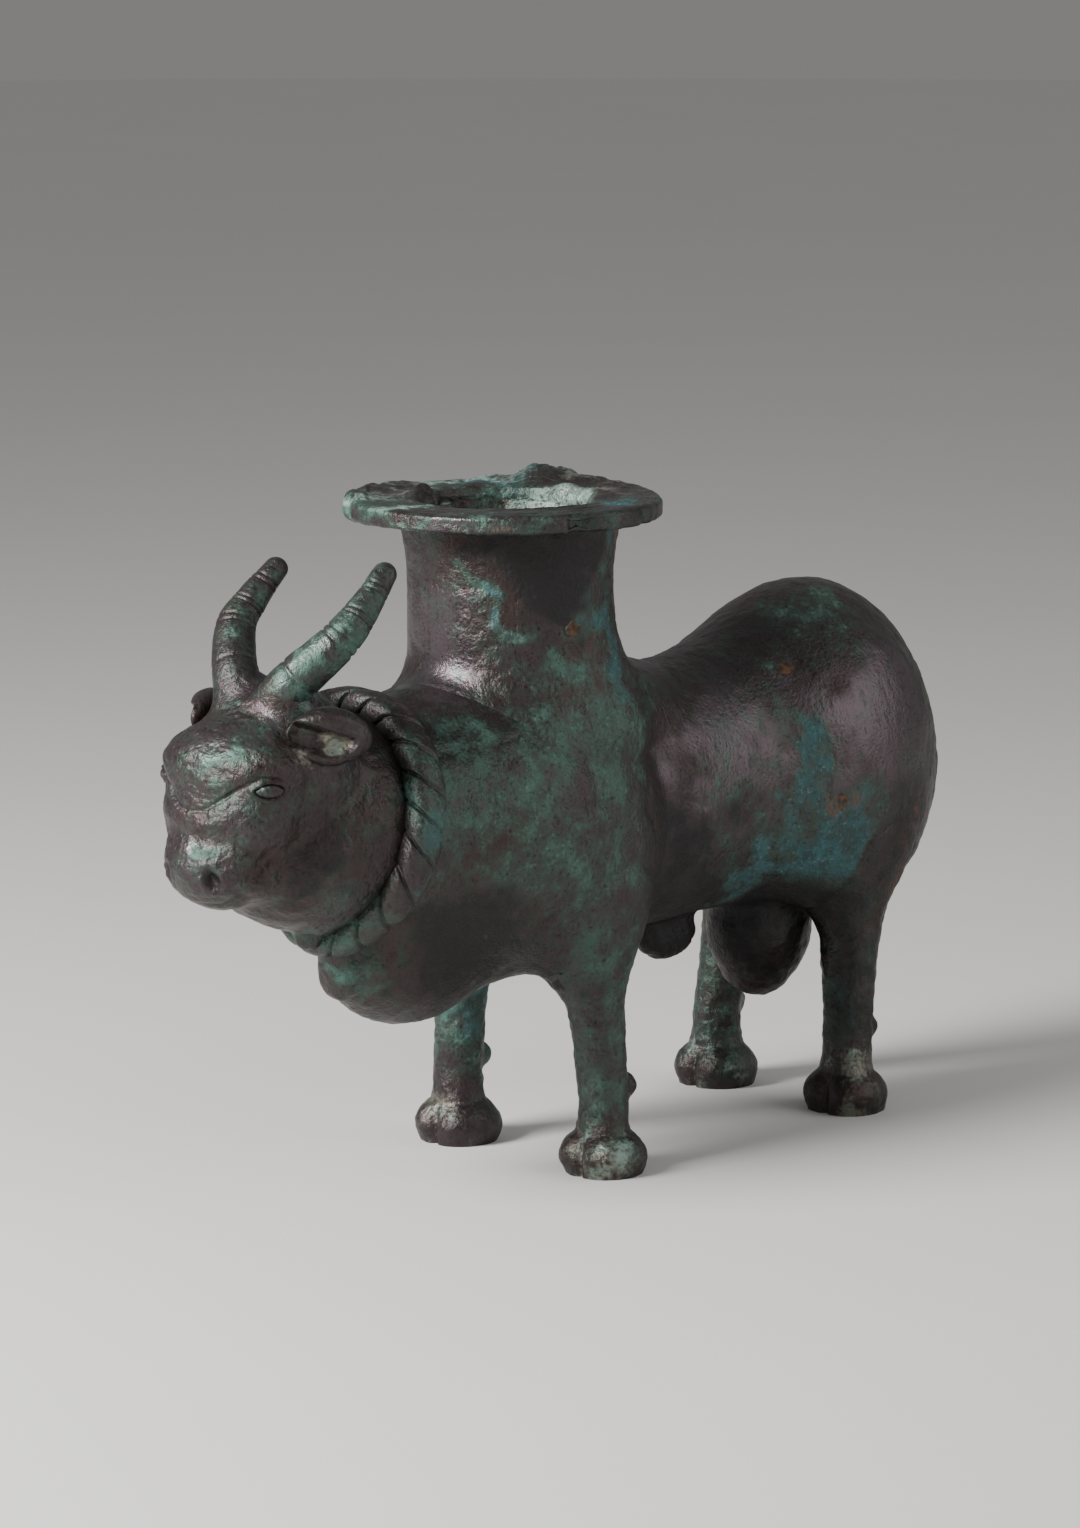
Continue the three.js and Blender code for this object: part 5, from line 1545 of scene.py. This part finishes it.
class BULL_OT_collar(PieceOperator, bpy.types.Operator):
    """Makes the rope collar over the neck joint"""

    bl_idname = "bull.collar"
    bl_label = "Collar"

    def execute(self, context):
        sizes = context.scene.bull_sizes
        rows = collar_rows(sizes.collar_turns, sizes.collar_cut / MM)
        make_piece(context, "collar", [looped(rows)], "green")
        return {"FINISHED"}


class BULL_OT_horns(PieceOperator, bpy.types.Operator):
    """Makes the horns and the ears"""

    bl_idname = "bull.horns"
    bl_label = "Horns and ears"

    def execute(self, context):
        line = context.scene.bull_sizes.horn_line / MM
        for name, side in SIDES.items():
            make_piece(context, f"horn_{name}", [capped(horn_rows(side, line))], "green")
            make_piece(context, f"ear_{name}", [capped(ear_rows(side))], "hide", fill_ear)
        return {"FINISHED"}


class BULL_OT_legs(PieceOperator, bpy.types.Operator):
    """Makes the four legs with their cloven hooves"""

    bl_idname = "bull.legs"
    bl_label = "Legs"

    def execute(self, context):
        depth = context.scene.bull_sizes.relief_depth
        for end, leg in (("front", FRONT_LEG), ("rear", REAR_LEG)):
            for name, side in SIDES.items():
                rows = leg_rows(leg, side, depth)
                make_piece(context, f"leg_{end}_{name}", [capped(rows)], "hide")
        return {"FINISHED"}


class BULL_OT_tail(PieceOperator, bpy.types.Operator):
    """Makes the tail, the scrotum and the sheath"""

    bl_idname = "bull.tail"
    bl_label = "Tail and underparts"

    def execute(self, context):
        depth = context.scene.bull_sizes.relief_depth
        make_piece(context, "tail", [capped(tail_rows(depth))], "copper")
        # The scrotum and the sheath hang in the shade under the belly, and their black bronze is painted
        # shade.
        make_piece(context, "scrotum", [capped(hanging_rows(SCROTUM, depth))], "dark")
        make_piece(context, "sheath", [capped(hanging_rows(SHEATH, depth, 0.35))], "dark")
        return {"FINISHED"}


class BULL_OT_pins(PieceOperator, bpy.types.Operator):
    """Makes the rusted core pins on both sides"""

    bl_idname = "bull.pins"
    bl_label = "Core pins"

    def execute(self, context):
        depth = context.scene.bull_sizes.relief_depth
        for place in PINS:
            for name, side in SIDES.items():
                rows = pin_rows(place, side, depth)
                make_piece(context, f"core_pin_{place}_{name}", [capped(rows)], "pin")
        return {"FINISHED"}


# The camera's place and aim in the bull's own frame, for a picture 1080 wide and 1528 high
CAMERA_PLACE = (1312.72, -1334.14, 452.18)
CAMERA_AIM = (0, 15.764, 126.943)
CAMERA_LENS = 141.36
CAMERA_FAR = 100.0
FLOOR_RADIUS = 6.0
FLOOR_CORNERS = 96
KEY_PLACE = (-250, -1050, 780)
KEY_SIZE = 0.6
FILL_PLACE = (900, 500, 520)
FILL_SIZE = 1.0
LIGHT_AIM = (0, 20, 110)


def in_frame(place):
    """A place of the bull's own frame in the shared frame."""
    return Vector(np.array(place) * MM + SPOUT_FOOT)


def aimed(thing, place, aim):
    """Puts a camera or a lamp at a place and turns it to look at another."""
    thing.location = in_frame(place)
    thing.rotation_euler = (in_frame(aim) - in_frame(place)).to_track_quat("-Z", "Y").to_euler()


def soft_light(context, name, place, power, size):
    """A round lamp of a size in metres that looks at the bull."""
    lamp = bpy.data.lights.new(name, "AREA")
    lamp.shape = "DISK"
    lamp.energy = power
    lamp.size = size
    thing = bpy.data.objects.new(name, lamp)
    context.collection.objects.link(thing)
    aimed(thing, place, LIGHT_AIM)


def even_sky(tree, stage):
    """White light all round, which the camera sees in the tone of the far floor, so the horizon is faint."""
    light = tree.nodes["Background"]
    light.inputs["Color"].default_value = (1.0, 1.0, 1.0, 1.0)
    light.inputs["Strength"].default_value = stage.sky
    wall = {"Color": opaque(stage.floor_colour), "Strength": stage.backdrop}
    seen = add_node(tree, "ShaderNodeBackground", wall)
    straight = add_node(tree, "ShaderNodeLightPath").outputs["Is Camera Ray"]
    chosen = add_node(tree, "ShaderNodeMixShader", {0: straight, 1: light.outputs[0], 2: seen.outputs[0]})
    tree.links.new(chosen.outputs[0], tree.nodes["World Output"].inputs["Surface"])


class BULL_OT_stage(bpy.types.Operator):
    """Makes the floor, the lights, the sky and the camera"""

    bl_idname = "bull.stage"
    bl_label = "Stage"

    def execute(self, context):
        stage = context.scene.bull_stage
        angles = turn(FLOOR_CORNERS)
        rim = np.stack([np.cos(angles), np.sin(angles), 0 * angles], axis=-1) * FLOOR_RADIUS
        mesh = bpy.data.meshes.new("floor")
        mesh.from_pydata(rim.tolist(), [], [list(range(FLOOR_CORNERS))])
        mesh.materials.append(studio_floor("Pale painted board", stage.floor_colour))
        floor = bpy.data.objects.new("floor", mesh)
        context.collection.objects.link(floor)
        soft_light(context, "key_light", KEY_PLACE, stage.key_power, KEY_SIZE)
        soft_light(context, "fill_light", FILL_PLACE, stage.fill_power, FILL_SIZE)
        world = bpy.data.worlds.new("Even sky")
        world.use_nodes = True
        even_sky(world.node_tree, stage)
        context.scene.world = world
        camera = bpy.data.objects.new("camera", bpy.data.cameras.new("camera"))
        camera.data.lens = CAMERA_LENS
        camera.data.clip_end = CAMERA_FAR
        context.collection.objects.link(camera)
        aimed(camera, CAMERA_PLACE, CAMERA_AIM)
        context.scene.camera = camera
        return {"FINISHED"}


PIECE_OPERATORS = (
    BULL_OT_body, BULL_OT_spout, BULL_OT_head, BULL_OT_collar, BULL_OT_horns, BULL_OT_legs, BULL_OT_tail,
    BULL_OT_pins,
)


class BULL_PT_panel(bpy.types.Panel):
    """Lists the settings and the operators"""

    bl_idname = "BULL_PT_panel"
    bl_label = "Bronze bull vessel"
    bl_space_type = "VIEW_3D"
    bl_region_type = "UI"
    bl_category = "Bull"

    def draw(self, context):
        for group in (context.scene.bull_sizes, context.scene.bull_finish, context.scene.bull_stage):
            box = self.layout.box()
            for setting in group.__annotations__:
                box.prop(group, setting)
        for operator in (BULL_OT_stage, *PIECE_OPERATORS):
            self.layout.operator(operator.bl_idname)


CLASSES = (BullSizes, BullFinish, BullStage, BULL_OT_stage, *PIECE_OPERATORS, BULL_PT_panel)


def register():
    """Registers the classes and hangs the settings on the scene."""
    for made in CLASSES:
        bpy.utils.register_class(made)
    bpy.types.Scene.bull_sizes = PointerProperty(type=BullSizes)
    bpy.types.Scene.bull_finish = PointerProperty(type=BullFinish)
    bpy.types.Scene.bull_stage = PointerProperty(type=BullStage)


def unregister():
    """Takes the settings and the classes away again."""
    for settings in ("bull_sizes", "bull_finish", "bull_stage"):
        delattr(bpy.types.Scene, settings)
    for made in reversed(CLASSES):
        bpy.utils.unregister_class(made)


def main():
    """Builds the stage and the bull."""
    register()
    bpy.ops.bull.stage()
    bpy.ops.bull.body()
    bpy.ops.bull.spout()
    bpy.ops.bull.head()
    bpy.ops.bull.collar()
    bpy.ops.bull.horns()
    bpy.ops.bull.legs()
    bpy.ops.bull.tail()
    bpy.ops.bull.pins()


if __name__ == "__main__":
    main()
